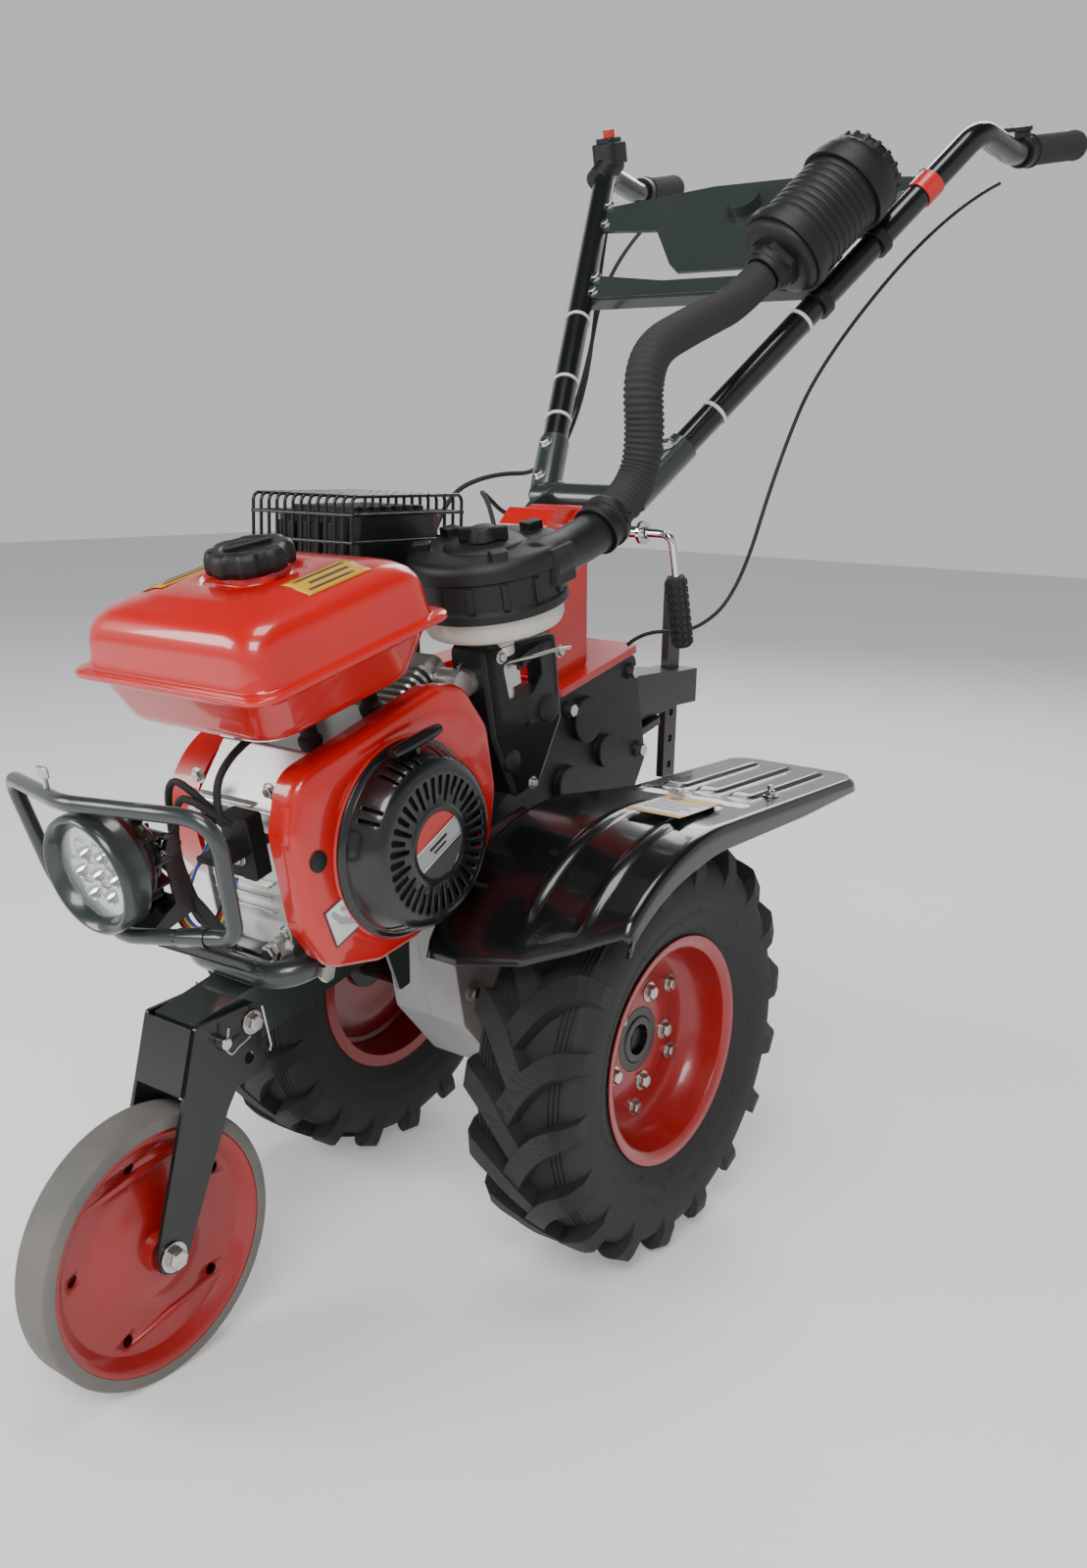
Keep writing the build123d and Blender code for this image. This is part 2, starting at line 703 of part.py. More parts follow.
with BuildPart() as headlamp_lens:
    with BuildSketch(Plane.XZ.offset(-lamp_y - 6)):
        with Locations((0, lamp_z)):
            Circle(lamp_r - 10)
    extrude(amount=4)
finish(headlamp_lens.part, "headlamp_lens")

with BuildPart() as headlamp_bracket:
    add(bar_x(-19, 19, lamp_y + 56, lamp_z, 4))
    for side in (1, -1):
        add(slab_x(side * 15, side * 18, [(lamp_y + 51, lamp_z + 8), (lamp_y + 66, lamp_z + 8), (lamp_y + 66, 290), (lamp_y + 20.6, 284), (lamp_y + 20.6, 292), (lamp_y + 51, 304)]))
        add(hex_bolt_x(side * 19, lamp_y + 56, lamp_z, side, 0.5, 5))
    add(slab_x(-16, 16, [(lamp_y + 66, 300), (lamp_y + 66, 290), (lamp_y + 20.6, 284), (lamp_y + 20.6, 290)]))
finish(headlamp_bracket.part, "headlamp_bracket")

# ---- Engine block ---------------------------------------------------------------------------------
bank = math.radians(25)
bank_dir = Vector(0, math.cos(bank), math.sin(bank))
bore_x = 0.0
with BuildPart() as crankcase:
    add(slab_x(-47, 47, [(-292, foot_z + 0.1), (-120, foot_z + 0.1), (-100, 250), (-85.3, 290), (-127.7, 381), (-232, 381), (-276, 340), (-282, 240), (-292, 222)], 6))
    add(slab_x(-block_half + 8, 56, [(-280, 228), (-112, 228), (-100, 250), (-85.3, 290), (-127.7, 381), (-232, 381), (-276, 340)], 6))
    add(bar_x(-block_half, -block_half + 9, crank_y, crank_z, 52))
    add(bar_x(-block_half - 1, 60, crank_y, crank_z, 12 + run_fit), mode=Mode.SUBTRACT)
    add(bar_x(-44, 44, crank_y, crank_z, 44), mode=Mode.SUBTRACT)
    for boss_x in (-30, 30):
        with BuildSketch(Plane.XZ.offset(287)):
            with Locations((boss_x, 222)):
                RegularPolygon(9, 6)
        extrude(amount=13)
finish(crankcase.part, "crankcase")

with BuildPart() as cylinder:
    cyl_base = Vector(0, crank_y, crank_z) + bank_dir * 96
    cyl_plane = Plane(origin=cyl_base, x_dir=(1, 0, 0), z_dir=bank_dir)
    with BuildSketch(cyl_plane):
        Rectangle(70, 70)
    extrude(amount=58)
    for fin in range(7):
        with BuildSketch(cyl_plane.offset(3 + fin * 8)):
            RectangleRounded(104, 100, 10)
        extrude(amount=3.2)
    with BuildSketch(cyl_plane.offset(55)):
        RectangleRounded(100, 92, 8)
    extrude(amount=8)
    with BuildSketch(cyl_plane.offset(63)):
        RectangleRounded(84, 72, 12)
    extrude(amount=20, taper=8)
finish(cylinder.part, "cylinder")

with BuildPart() as crankshaft:
    add(bar_x(-106, 104, crank_y, crank_z, 12))
    add(bar_x(-20, -8, crank_y, crank_z, 40))
    add(bar_x(8, 20, crank_y, crank_z, 40))
finish(crankshaft.part, "crankshaft")

with BuildPart() as flywheel:
    add(bar_x(80, 88, crank_y, crank_z, 70))
    for blade in range(16):
        with BuildSketch(Plane.YZ.offset(88)):
            with Locations((crank_y, crank_z)):
                with PolarLocations(58, 1, start_angle=blade * 360 / 16):
                    Rectangle(22, 2.5, rotation=30)
        extrude(amount=12)
    add(bar_x(79, 89, crank_y, crank_z, 12), mode=Mode.SUBTRACT)
finish(flywheel.part, "flywheel")

shroud_outline = [
    (-300, 222), (-318, 262), (-320, 350), (-300, 396), (-120, 408), (-88, 396), (-64, 350), (-64, 288), (-84, 236), (-140, 206),
    (-205, 198), (-245, 200),
]
with BuildPart() as fan_shroud:
    add(slab_x(shroud_x0, shroud_x1, shroud_outline, 14))
    fillet(faces().sort_by(Axis.X)[-1].edges(), 7)
    add(slab_x(shroud_x0 - 1, shroud_x1 - 3, [(y * 0.96 - 8, z * 0.96 + 12) for y, z in shroud_outline], 12), mode=Mode.SUBTRACT)
    add(bar_x(shroud_x0, shroud_x1 + 1, crank_y, crank_z, 76), mode=Mode.SUBTRACT)
    for post_y, post_z in ((-262, 250), (-140, 365)):
        add(bar_x(56.2, shroud_x1 - 2, post_y, post_z, 5))
finish(fan_shroud.part, "fan_shroud")

with BuildPart() as recoil_cover:
    with BuildSketch(Plane.XZ.offset(-crank_y)):
        with BuildLine():
            Polyline(
                (shroud_x1 + 0.1, crank_z + recoil_r), (shroud_x1 + 5, crank_z + recoil_r), (recoil_face_x - 9, crank_z + recoil_face_r + 5),
                (recoil_face_x, crank_z + recoil_face_r - 3), (recoil_face_x, crank_z), (recoil_face_x - 3, crank_z),
                (recoil_face_x - 3, crank_z + recoil_face_r - 6), (shroud_x1 + 0.1, crank_z + recoil_r - 6), close=True,
            )
        make_face()
    revolve(axis=Axis((0, crank_y, crank_z), (1, 0, 0)))
    with BuildSketch(Plane.YZ.offset(recoil_face_x - 5)):
        with Locations((crank_y, crank_z)):
            with PolarLocations(50, 16):
                SlotOverall(24, 4)
            with PolarLocations(56, 16, start_angle=11.25):
                SlotOverall(14, 4)
    extrude(amount=10, mode=Mode.SUBTRACT)
    with BuildSketch(Plane.XY.offset(crank_z + recoil_face_r - 12)):
        with Locations((124, crank_y + 10)):
            Rectangle(12, 16)
    extrude(amount=30, mode=Mode.SUBTRACT)
finish(recoil_cover.part, "recoil_cover")

with BuildPart() as recoil_reel:
    add(bar_x(112, 130, crank_y, crank_z, 40))
    add(bar_x(116, 126, crank_y, crank_z, 46))
    add(bar_x(108, recoil_face_x - 3.4, crank_y, crank_z, 8))
finish(recoil_reel.part, "recoil_reel")

handle_z = crank_z + recoil_r + 0.8
with BuildPart() as pull_handle:
    with BuildSketch(Plane.XZ.offset(-crank_y + 20)):
        with Locations((124, handle_z)):
            RectangleRounded(16, 11, 5)
    extrude(amount=-60)
    add(bar_z(124, crank_y + 10, crank_z + 69, handle_z, 2.5))
finish(pull_handle.part, "pull_handle")

# ---- Fuel tank -----------------------------------------------------------------------------------
with BuildPart() as fuel_tank:
    with BuildSketch(Plane.XY.offset(tank_z - 2)):
        with Locations((tank_x, tank_y)):
            RectangleRounded(tank_w, tank_l, 26)
    extrude(amount=4)
    for grow, taper, height in ((1, 9, tank_crown), (-1, 16, 48)):
        with BuildSketch(Plane.XY.offset(tank_z)):
            with Locations((tank_x, tank_y)):
                RectangleRounded(tank_w - 2 * tank_flange, tank_l - 2 * tank_flange, 24)
        extrude(amount=grow * height, taper=taper)
    fillet(faces().sort_by(Axis.Z)[-1].edges(), 16)
    fillet(faces().sort_by(Axis.Z)[0].edges(), 6)
    add(bar_z(cap_x, cap_y, tank_z + tank_crown - 4, tank_z + tank_crown + 5, 30))
    add(bar_z(cap_x, cap_y, tank_z + 20, tank_z + tank_crown + 6, 22), mode=Mode.SUBTRACT)
    for foot_x, foot_y in ((-30, -222), (40, -222), (-30, -145), (40, -145)):
        add(bar_z(foot_x, foot_y, 381.2, 440, 9))
finish(fuel_tank.part, "fuel_tank")

with BuildPart() as fuel_cap:
    cap_z = tank_z + tank_crown + 5.3
    with BuildSketch(Plane.XY.offset(cap_z)):
        with Locations((cap_x, cap_y)):
            Circle(37)
            with PolarLocations(41, 8, start_angle=22.5):
                Circle(7, mode=Mode.SUBTRACT)
    extrude(amount=20, taper=3)
    add(bar_z(cap_x, cap_y, cap_z - 12, cap_z, 21.7))
finish(fuel_cap.part, "fuel_cap")

# ---- Exhaust -------------------------------------------------------------------------------------
muffler_tilt = tilt
muffler_plane = Plane(
    origin=(-48, -45, 470), x_dir=(1, 0, 0), z_dir=(0, math.sin(math.radians(muffler_tilt)), math.cos(math.radians(muffler_tilt)))
)
cage_w = 124.0
cage_l = 150.0
cage_h = 78.0
wire_r = 1.6
with BuildPart() as muffler:
    with BuildSketch(muffler_plane):
        RectangleRounded(100, 124, 14)
    extrude(amount=64)
    with BuildSketch(muffler_plane.offset(-2)):
        RectangleRounded(92, 116, 12)
    extrude(amount=60, mode=Mode.SUBTRACT)
    with BuildSketch(muffler_plane.offset(-3)):
        RectangleRounded(96, 120, 12)
    extrude(amount=3)
    add(bar_between((-30, -62, 470), (-16, -74, 409.4), 13))
finish(muffler.part, "muffler")


def cage_wire(points):
    """One wire of the guard, in the muffler's own plane."""
    placed = [muffler_plane.from_local_coords(Vector(*p)) for p in points]
    return tube_path([(p.X, p.Y, p.Z) for p in placed], 7, wire_r)


with BuildPart() as muffler_guard:
    half_w = cage_w / 2
    half_l = cage_l / 2
    wires = 13
    for i in range(wires):
        wire_x = -half_w + cage_w * i / (wires - 1)
        add(cage_wire([(wire_x, -half_l, 6), (wire_x, -half_l, cage_h), (wire_x, half_l, cage_h), (wire_x, half_l, 6)]))
    for wire_z in (14, 38, 62):
        for wire_y in (-half_l, half_l):
            a = muffler_plane.from_local_coords(Vector(-half_w - 2, wire_y, wire_z))
            b = muffler_plane.from_local_coords(Vector(half_w + 2, wire_y, wire_z))
            add(bar_between((a.X, a.Y, a.Z), (b.X, b.Y, b.Z), wire_r))
    for wire_y in (-50, -25, 0, 25, 50):
        a = muffler_plane.from_local_coords(Vector(-half_w - 2, wire_y, cage_h))
        b = muffler_plane.from_local_coords(Vector(half_w + 2, wire_y, cage_h))
        add(bar_between((a.X, a.Y, a.Z), (b.X, b.Y, b.Z), wire_r))
    for wire_x in (-half_w, half_w):
        for wire_z in (14, 38, 62):
            a = muffler_plane.from_local_coords(Vector(wire_x, -half_l, wire_z))
            b = muffler_plane.from_local_coords(Vector(wire_x, half_l, wire_z))
            add(bar_between((a.X, a.Y, a.Z), (b.X, b.Y, b.Z), wire_r))
    for wire_x in (-50, 50):
        a = muffler_plane.from_local_coords(Vector(wire_x, -half_l - 1, 8))
        b = muffler_plane.from_local_coords(Vector(wire_x, -58, 8))
        add(bar_between((a.X, a.Y, a.Z), (b.X, b.Y, b.Z), wire_r))
finish(muffler_guard.part, "muffler_guard")

# ---- Air cleaner ---------------------------------------------------------------------------------
with BuildPart() as air_cleaner_bowl:
    add(bar_z(cleaner_x, cleaner_y, bowl_bottom, bowl_top, bowl_r))
    fillet(faces().sort_by(Axis.Z)[0].edges(), 8)
    add(bar_z(cleaner_x, cleaner_y, bowl_bottom + 3, bowl_top + 1, bowl_r - 3), mode=Mode.SUBTRACT)
    add(bar_z(cleaner_x, cleaner_y, bowl_bottom - 18, bowl_bottom + 26, 16))
    add(bar_z(cleaner_x, cleaner_y, bowl_bottom - 19, bowl_bottom + 27, 12), mode=Mode.SUBTRACT)
finish(air_cleaner_bowl.part, "air_cleaner_bowl")

with BuildPart() as air_cleaner_body:
    add(bar_z(cleaner_x, cleaner_y, bowl_top - 8, cleaner_top, cleaner_r))
    fillet(faces().sort_by(Axis.Z)[-1].edges(), 10)
    add(bar_between((snorkel_x, cleaner_y, snorkel_z - 14), (snorkel_x, snorkel_end, snorkel_z - 14 + 6), snorkel_r))
    add(bar_z(cleaner_x, cleaner_y, bowl_top - 9, cleaner_top - 4, cleaner_r - 4), mode=Mode.SUBTRACT)
    add(bar_between((snorkel_x, cleaner_y + 4, snorkel_z - 14), (snorkel_x, snorkel_end + 1, snorkel_z - 8), snorkel_r - 3), mode=Mode.SUBTRACT)
    add(bar_z(cleaner_x, cleaner_y, bowl_top + 4, cleaner_top + 3, 30))
    add(bar_z(cleaner_x, cleaner_y, bowl_top, cleaner_top + 4, 5.05), mode=Mode.SUBTRACT)
    for boss_x, boss_y in ((cleaner_x - 46, cleaner_y - 30), (cleaner_x + 12, cleaner_y + 52)):
        with BuildSketch(Plane.XY.offset(cleaner_top - 6)):
            with Locations((boss_x, boss_y)):
                Rectangle(18, 14)
        extrude(amount=14)
finish(air_cleaner_body.part, "air_cleaner_body")

with BuildPart() as air_cleaner_knob:
    with BuildSketch(Plane.XY.offset(cleaner_top + 3.3)):
        with Locations((cleaner_x, cleaner_y)):
            Circle(13)
            Rectangle(46, 11, rotation=20)
    extrude(amount=13)
    add(bar_z(cleaner_x, cleaner_y, bowl_top + 2, cleaner_top + 4, 5))
finish(air_cleaner_knob.part, "air_cleaner_knob")

# ---- Carburettor side ------------------------------------------------------------------------------
carb_x = 88.1
carb_y = -19.0
with BuildPart() as carburettor:
    with BuildSketch(Plane.XY.offset(366)):
        with Locations((carb_x - 8, carb_y)):
            Rectangle(32, 34)
    extrude(amount=36)
    add(bar_z(carb_x, carb_y, 400, bowl_bottom - 18.2, 15))
    add(bar_z(carb_x - 8, carb_y + 2, 338, 367, 15))
    add(bar_x(52.3, carb_x - 10, carb_y - 43, 384, 13))
    add(bar_between((carb_x - 12, carb_y - 43, 384), (carb_x - 12, carb_y, 384), 13))
finish(carburettor.part, "carburettor")

choke_y = carb_y + 12
choke_z = 388.0
with BuildPart() as choke_lever:
    add(slab_x(102, 104, [(choke_y - 6, choke_z - 6), (choke_y + 34, choke_z + 1), (choke_y + 34, choke_z + 9), (choke_y - 6, choke_z + 6)], 2))
    add(bar_x(97, 107, choke_y, choke_z, 3))
finish(choke_lever.part, "choke_lever")

with BuildPart() as side_panel:
    add(slab_x(108, 111, [(-56, 330), (-56, 420), (56, 398), (50, 312), (4, 262), (-36, 262)], 8))
    add(slab_x(107, 112, [(-18, 352), (-30, 394), (28, 396), (30, 366), (10, 348)], 6), mode=Mode.SUBTRACT)
    add(slab_x(68, 109, [(44, 340), (48, 392), (52, 391), (48, 340)]))
    add(bar_x(60, 109, -30, 280, 6))
    add(bar_x(60, 109, -48, 404, 6))
    add(slab_x(56, 62, [(-120, 272), (-24, 272), (-24, 288), (-120, 288)]))
    add(slab_x(56, 62, [(-66, 397.6), (-40, 397.6), (-40, 412), (-66, 412)]))
finish(side_panel.part, "side_panel")

with BuildPart() as ignition_box:
    with BuildSketch(Plane.XZ.offset(294)):
        with Locations((28, 326)):
            RectangleRounded(34, 56, 3)
    extrude(amount=18)
    with BuildSketch(Plane.XZ.offset(278.4)):
        with Locations((28, 312)):
            Rectangle(16, 14)
    extrude(amount=17)
finish(ignition_box.part, "ignition_box")

# ---- Belt drive ------------------------------------------------------------------------------------
def pulley(y, z, r, bore):
    """A grooved pulley on the belt line."""
    with BuildPart() as wheel:
        add(bar_x(belt_x - pulley_w / 2, belt_x + pulley_w / 2, y, z, r))
        with BuildSketch(Plane.XZ.offset(-y)):
            with BuildLine():
                Polyline(
                    (belt_x - belt_w / 2 - 1, z + r + 1), (belt_x + belt_w / 2 + 1, z + r + 1),
                    (belt_x + 3, z + r - 9), (belt_x - 3, z + r - 9), close=True,
                )
            make_face()
        revolve(axis=Axis((0, y, z), (1, 0, 0)), mode=Mode.SUBTRACT)
        add(bar_x(belt_x - pulley_w, belt_x + pulley_w, y, z, bore), mode=Mode.SUBTRACT)
    return wheel.part


finish(pulley(crank_y, crank_z, engine_pulley_r, 12), "engine_pulley")

with BuildPart() as input_pulley:
    add(pulley(input_y, input_z, input_pulley_r, 9.9))
    add(bar_x(belt_x - pulley_w / 2 - 4, 20, input_y, input_z, 10))
    add(bar_x(-24, -8, input_y, input_z, 26))
finish(input_pulley.part, "input_pulley")

belt_seat = -4.5
belt_back = 3.5
span_y = input_y - crank_y
span_z = input_z - crank_z
span = math.hypot(span_y, span_z)
span_angle = math.atan2(span_z, span_y)
swing = math.asin((input_pulley_r - engine_pulley_r) / span)


def belt_loop(x0, x1, grow):
    """A block of the belt outline, grown outwards, between two X stations."""
    r1 = engine_pulley_r + grow
    r2 = input_pulley_r + grow
    corners = []
    for sign in (1, -1):
        normal = span_angle + sign * (math.pi / 2 + swing)
        corners.append((crank_y + r1 * math.cos(normal), crank_z + r1 * math.sin(normal)))
        corners.append((input_y + r2 * math.cos(normal), input_z + r2 * math.sin(normal)))
    back = span_angle + math.pi
    with BuildPart() as block:
        with BuildSketch(Plane.YZ.offset(x0)):
            with BuildLine():
                Line(corners[0], corners[1])
                ThreePointArc(corners[1], (input_y - r2 * math.cos(back), input_z - r2 * math.sin(back)), corners[3])
                Line(corners[3], corners[2])
                ThreePointArc(corners[2], (crank_y + r1 * math.cos(back), crank_z + r1 * math.sin(back)), corners[0])
            make_face()
        extrude(amount=x1 - x0)
    return block.part


with BuildPart() as drive_belt:
    add(belt_loop(belt_x - 4, belt_x + 4, belt_back))
    add(belt_loop(belt_x - 5, belt_x + 5, belt_seat), mode=Mode.SUBTRACT)
finish(drive_belt.part, "drive_belt")

cover_x0 = -114.0
cover_x1 = -77.0
with BuildPart() as belt_cover:
    add(belt_loop(cover_x0, cover_x1, cover_margin + 22))
    add(belt_loop(cover_x0 + sheet, cover_x1 - sheet, cover_margin + 20), mode=Mode.SUBTRACT)
    add(bar_x(cover_x1 - 3, cover_x1 + 1, crank_y, crank_z, 16), mode=Mode.SUBTRACT)
    add(bar_x(cover_x1 - 3, cover_x1 + 1, input_y, input_z, 14), mode=Mode.SUBTRACT)
    add(bar_x(cover_x1 - 3, cover_x1 + 1, idler_pivot_y, idler_pivot_z, 6 + run_fit), mode=Mode.SUBTRACT)
    for post_y, post_z in ((crank_y - 30, crank_z - 60), (crank_y + 40, crank_z + 56)):
        add(bar_x(cover_x1, -block_half + 8, post_y, post_z, 6))
finish(belt_cover.part, "belt_cover")

with BuildPart() as idler_arm:
    add(bar_x(belt_x - 6, belt_x + 6, idler_y, idler_z, 12))
    add(slab_x(belt_x + 7.6, belt_x + 10.6, [(-28, 320), (-22, 336), (80, 308), (90, 298), (80, 288)]))
    add(bar_x(belt_x - 8, belt_x + 9, idler_y, idler_z, 5))
    add(bar_x(belt_x + 8, cover_x1 + 6, idler_pivot_y, idler_pivot_z, 6))
finish(idler_arm.part, "idler_arm")

# ---- Handlebar ---------------------------------------------------------------------------------------
with BuildPart() as handle_head:
    for side in (1, -1):
        add(slab_x(side * (column_half + 4.3), side * (column_half + 9), [(pivot_y - 20, pivot_z - 16), (pivot_y - 20, pivot_z + 18), (pivot_y + 8, pivot_z + 26), (pivot_y + 64, pivot_z + 34), (pivot_y + 64, pivot_z - 4), (pivot_y + 6, pivot_z - 26)], 6))
    add(bar_x(-62, 62, pivot_y + 50, pivot_z + 17, sleeve_r))
    for side in (1, -1):
        foot = along_tube(84)
        end = along_tube(166)
        add(bar_between((side * foot.X, foot.Y, foot.Z), (side * end.X, end.Y, end.Z), sleeve_r))
    for side in (1, -1):
        foot = along_tube(90)
        end = along_tube(170)
        add(bar_between((side * foot.X, foot.Y, foot.Z), (side * end.X, end.Y, end.Z), tube_r + 0.2), mode=Mode.SUBTRACT)
    add(bar_x(-column_half - 12, column_half + 12, pivot_y, pivot_z, 8.3), mode=Mode.SUBTRACT)
finish(handle_head.part, "handle_head")

tube_start = along_tube(92)
tube_knee = along_tube(668)
handle_tubes = []
grip_dir = (Vector(*grip_end) - Vector(*grip_start)).normalized()
tube_end = Vector(*grip_end) - grip_dir * 9
for side in (1, -1):
    run = [
        (side * tube_start.X, tube_start.Y, tube_start.Z),
        (side * tube_knee.X, tube_knee.Y, tube_knee.Z),
        (side * grip_start[0], grip_start[1], grip_start[2]),
        (side * tube_end.X, tube_end.Y, tube_end.Z),
    ]
    handle_tubes.append(tube_path(run, [45, 60], tube_r))
finish(Compound(handle_tubes), "handlebar_tubes")

grips = []
for side in (1, -1):
    outer = bar_between((side * grip_start[0], grip_start[1], grip_start[2]), (side * grip_end[0], grip_end[1], grip_end[2]), grip_r, 34, 0)
    core = bar_between((side * grip_start[0], grip_start[1], grip_start[2]), (side * grip_end[0], grip_end[1], grip_end[2]), tube_r + 0.1, 10, 7)
    grips.append(outer - core)
finish(Compound(grips), "grips")

upper_at = along_tube(566)
lower_at = along_tube(430)
panel_edge = 2.0
with BuildPart() as handle_panels:
    panel_dir = (Vector(*tube_head) - Vector(*tube_foot)).normalized()
    up_dir = Vector(0, -panel_dir.Z, panel_dir.Y).normalized()
    along_dir = Vector(0, panel_dir.Y, panel_dir.Z).normalized()
    upper_plane = Plane(origin=(0, upper_at.Y, upper_at.Z), x_dir=(1, 0, 0), z_dir=up_dir)
    half_at = upper_at.X - tube_r * 0.9
    with BuildSketch(upper_plane):
        with BuildLine():
            Polyline(
                (-half_at - 6, -22), (-half_at - 14, 22), (-60, 44), (60, 44), (half_at + 14, 22), (half_at + 6, -22), (110, -30), (64, -92), (46, -108), (-46, -108), (-64, -92), (-110, -30),
                close=True,
            )
        make_face()
    extrude(amount=3)
    add(bar_between(tuple(upper_plane.origin - up_dir * 0), tuple(upper_plane.origin + up_dir * 18), 20))
    lower_plane = Plane(origin=(0, lower_at.Y, lower_at.Z), x_dir=(1, 0, 0), z_dir=up_dir)
    low_half = lower_at.X - tube_r * 0.9
    with BuildSketch(lower_plane):
        with BuildLine():
            Polyline((-low_half, -16), (-low_half - 6, 24), (-60, 8), (60, 8), (low_half + 6, 24), (low_half, -16), close=True)
        make_face()
    extrude(amount=3)
    with BuildSketch(lower_plane):
        with Locations((0, -17)):
            Rectangle(2 * low_half, 3)
    extrude(amount=-14)
    for side in (1, -1):
        for distance in (430, 566):
            a = along_tube(distance - 60)
            b = along_tube(distance + 60)
            add(bar_between((side * a.X, a.Y, a.Z), (side * b.X, b.Y, b.Z), tube_r + 0.15), mode=Mode.SUBTRACT)
finish(handle_panels.part, "handle_panels")

# ---- Controls on the handlebar -----------------------------------------------------------------------
knee = Vector(*tube_knee)
with BuildPart() as switch_box:
    with BuildSketch(Plane(origin=(-tube_knee.X, tube_knee.Y + 16, tube_knee.Z + 9), x_dir=(1, 0, 0), z_dir=(0, 0, 1))):
        RectangleRounded(44, 50, 10)
    extrude(amount=39)
    add(bar_between((-tube_knee.X, tube_knee.Y + 16, tube_knee.Z + 40), (-tube_knee.X, tube_knee.Y + 16, tube_knee.Z + 49), 8.4), mode=Mode.SUBTRACT)
finish(switch_box.part, "switch_box")

button_travel = 3.0
with BuildPart() as stop_button:
    add(bar_z(-tube_knee.X, tube_knee.Y + 16, tube_knee.Z + 40 + button_travel + 0.3, tube_knee.Z + 53, 8))
finish(stop_button.part, "stop_button")

lever_axis = Vector(*grip_start) + (Vector(*grip_end) - Vector(*grip_start)).normalized() * 23
with BuildPart() as clutch_lever:
    add(bar_x(-lever_axis.X - 6, -lever_axis.X + 6, lever_axis.Y - 6, lever_axis.Z - 28, 5))
    add(slab_x(-lever_axis.X - 4, -lever_axis.X + 4, [(lever_axis.Y - 14, lever_axis.Z - 34), (lever_axis.Y - 14, lever_axis.Z - 22), (lever_axis.Y + 8, lever_axis.Z - 26), (lever_axis.Y + 96, lever_axis.Z - 44), (lever_axis.Y + 96, lever_axis.Z - 52), (lever_axis.Y + 8, lever_axis.Z - 38)], 3))
finish(clutch_lever.part, "clutch_lever")

with BuildPart() as lever_clamps:
    for side in (1, -1):
        near = (side * lever_axis.X, lever_axis.Y, lever_axis.Z)
        far = (side * grip_end[0], grip_end[1], grip_end[2])
        axis = (Vector(*far) - Vector(*near)).normalized()
        add(bar_between(tuple(Vector(*near) - axis * 6), tuple(Vector(*near) + axis * 6), tube_r + 4))
        add(bar_between(tuple(Vector(*near) - axis * 11), tuple(Vector(*near) + axis * 11), tube_r + 0.15), mode=Mode.SUBTRACT)
    for ear in (-lever_axis.X - 9, -lever_axis.X + 6.3):
        add(slab_x(ear, ear + 2.7, [(lever_axis.Y - 12, lever_axis.Z - 36), (lever_axis.Y, lever_axis.Z - 36), (lever_axis.Y + 6, lever_axis.Z - 16), (lever_axis.Y, lever_axis.Z - 13), (lever_axis.Y - 2, lever_axis.Z - 16)]))
    add(bar_z(lever_axis.X, lever_axis.Y, lever_axis.Z + tube_r + 1, lever_axis.Z + tube_r + 8, 9))
finish(lever_clamps.part, "lever_clamps")

with BuildPart() as throttle_lever:
    with BuildSketch(Plane.XY.offset(lever_axis.Z + tube_r + 8.3)):
        with Locations((lever_axis.X, lever_axis.Y)):
            Circle(11)
        with Locations((lever_axis.X - 16, lever_axis.Y)):
            Rectangle(32, 9)
    extrude(amount=5)
finish(throttle_lever.part, "throttle_lever")

clamp_x = 135.0
with BuildPart() as clamp_lever:
    add(tube_path([(-52, pivot_y, pivot_z), (clamp_x, pivot_y, pivot_z), (clamp_x, pivot_y + 4, pivot_z - 116)], 12, 4.5))
    add(bar_x(-column_half - 16, 56, pivot_y, pivot_z, 8))
    add(bar_x(56, 100, pivot_y, pivot_z, 6))
    add(bar_x(100, 104, pivot_y, pivot_z, 12))
    add(bar_between((clamp_x, pivot_y + 1.8, pivot_z - 46), (clamp_x, pivot_y + 4, pivot_z - 118), 10))
    add(bar_x(column_half + 9.4, column_half + 13, pivot_y, pivot_z, 13))
    add(bar_x(-column_half - 16, -column_half - 9.4, pivot_y, pivot_z, 13))
finish(clamp_lever.part, "clamp_lever")

# ---- Intake hose and pre-cleaner -----------------------------------------------------------------------
run = (Vector(*tube_head) - Vector(*tube_foot)).normalized()
lift = Vector(1, 0, 0).cross(run).normalized()
across = run.cross(lift)
canister_r = 47.0


def canister_at(distance):
    """A point on the canister's axis, beside a distance along the near tube."""
    return along_tube(distance) + lift * 66 - across * 20


with BuildPart() as precleaner:
    low = canister_at(372)
    high = canister_at(512)
    neck = canister_at(350)
    tip = canister_at(528)
    add(bar_between(tuple(low), tuple(high), canister_r))
    add(bar_between(tuple(neck), tuple(low + run * 4), 26))
    add(bar_between(tuple(high - run * 2), tuple(tip), canister_r - 6))
    add(bar_between(tuple(low + run * 3), tuple(high - run * 3), canister_r - 3), mode=Mode.SUBTRACT)
    add(bar_between(tuple(neck - run), tuple(low + run * 5), 18), mode=Mode.SUBTRACT)
finish(precleaner.part, "precleaner")

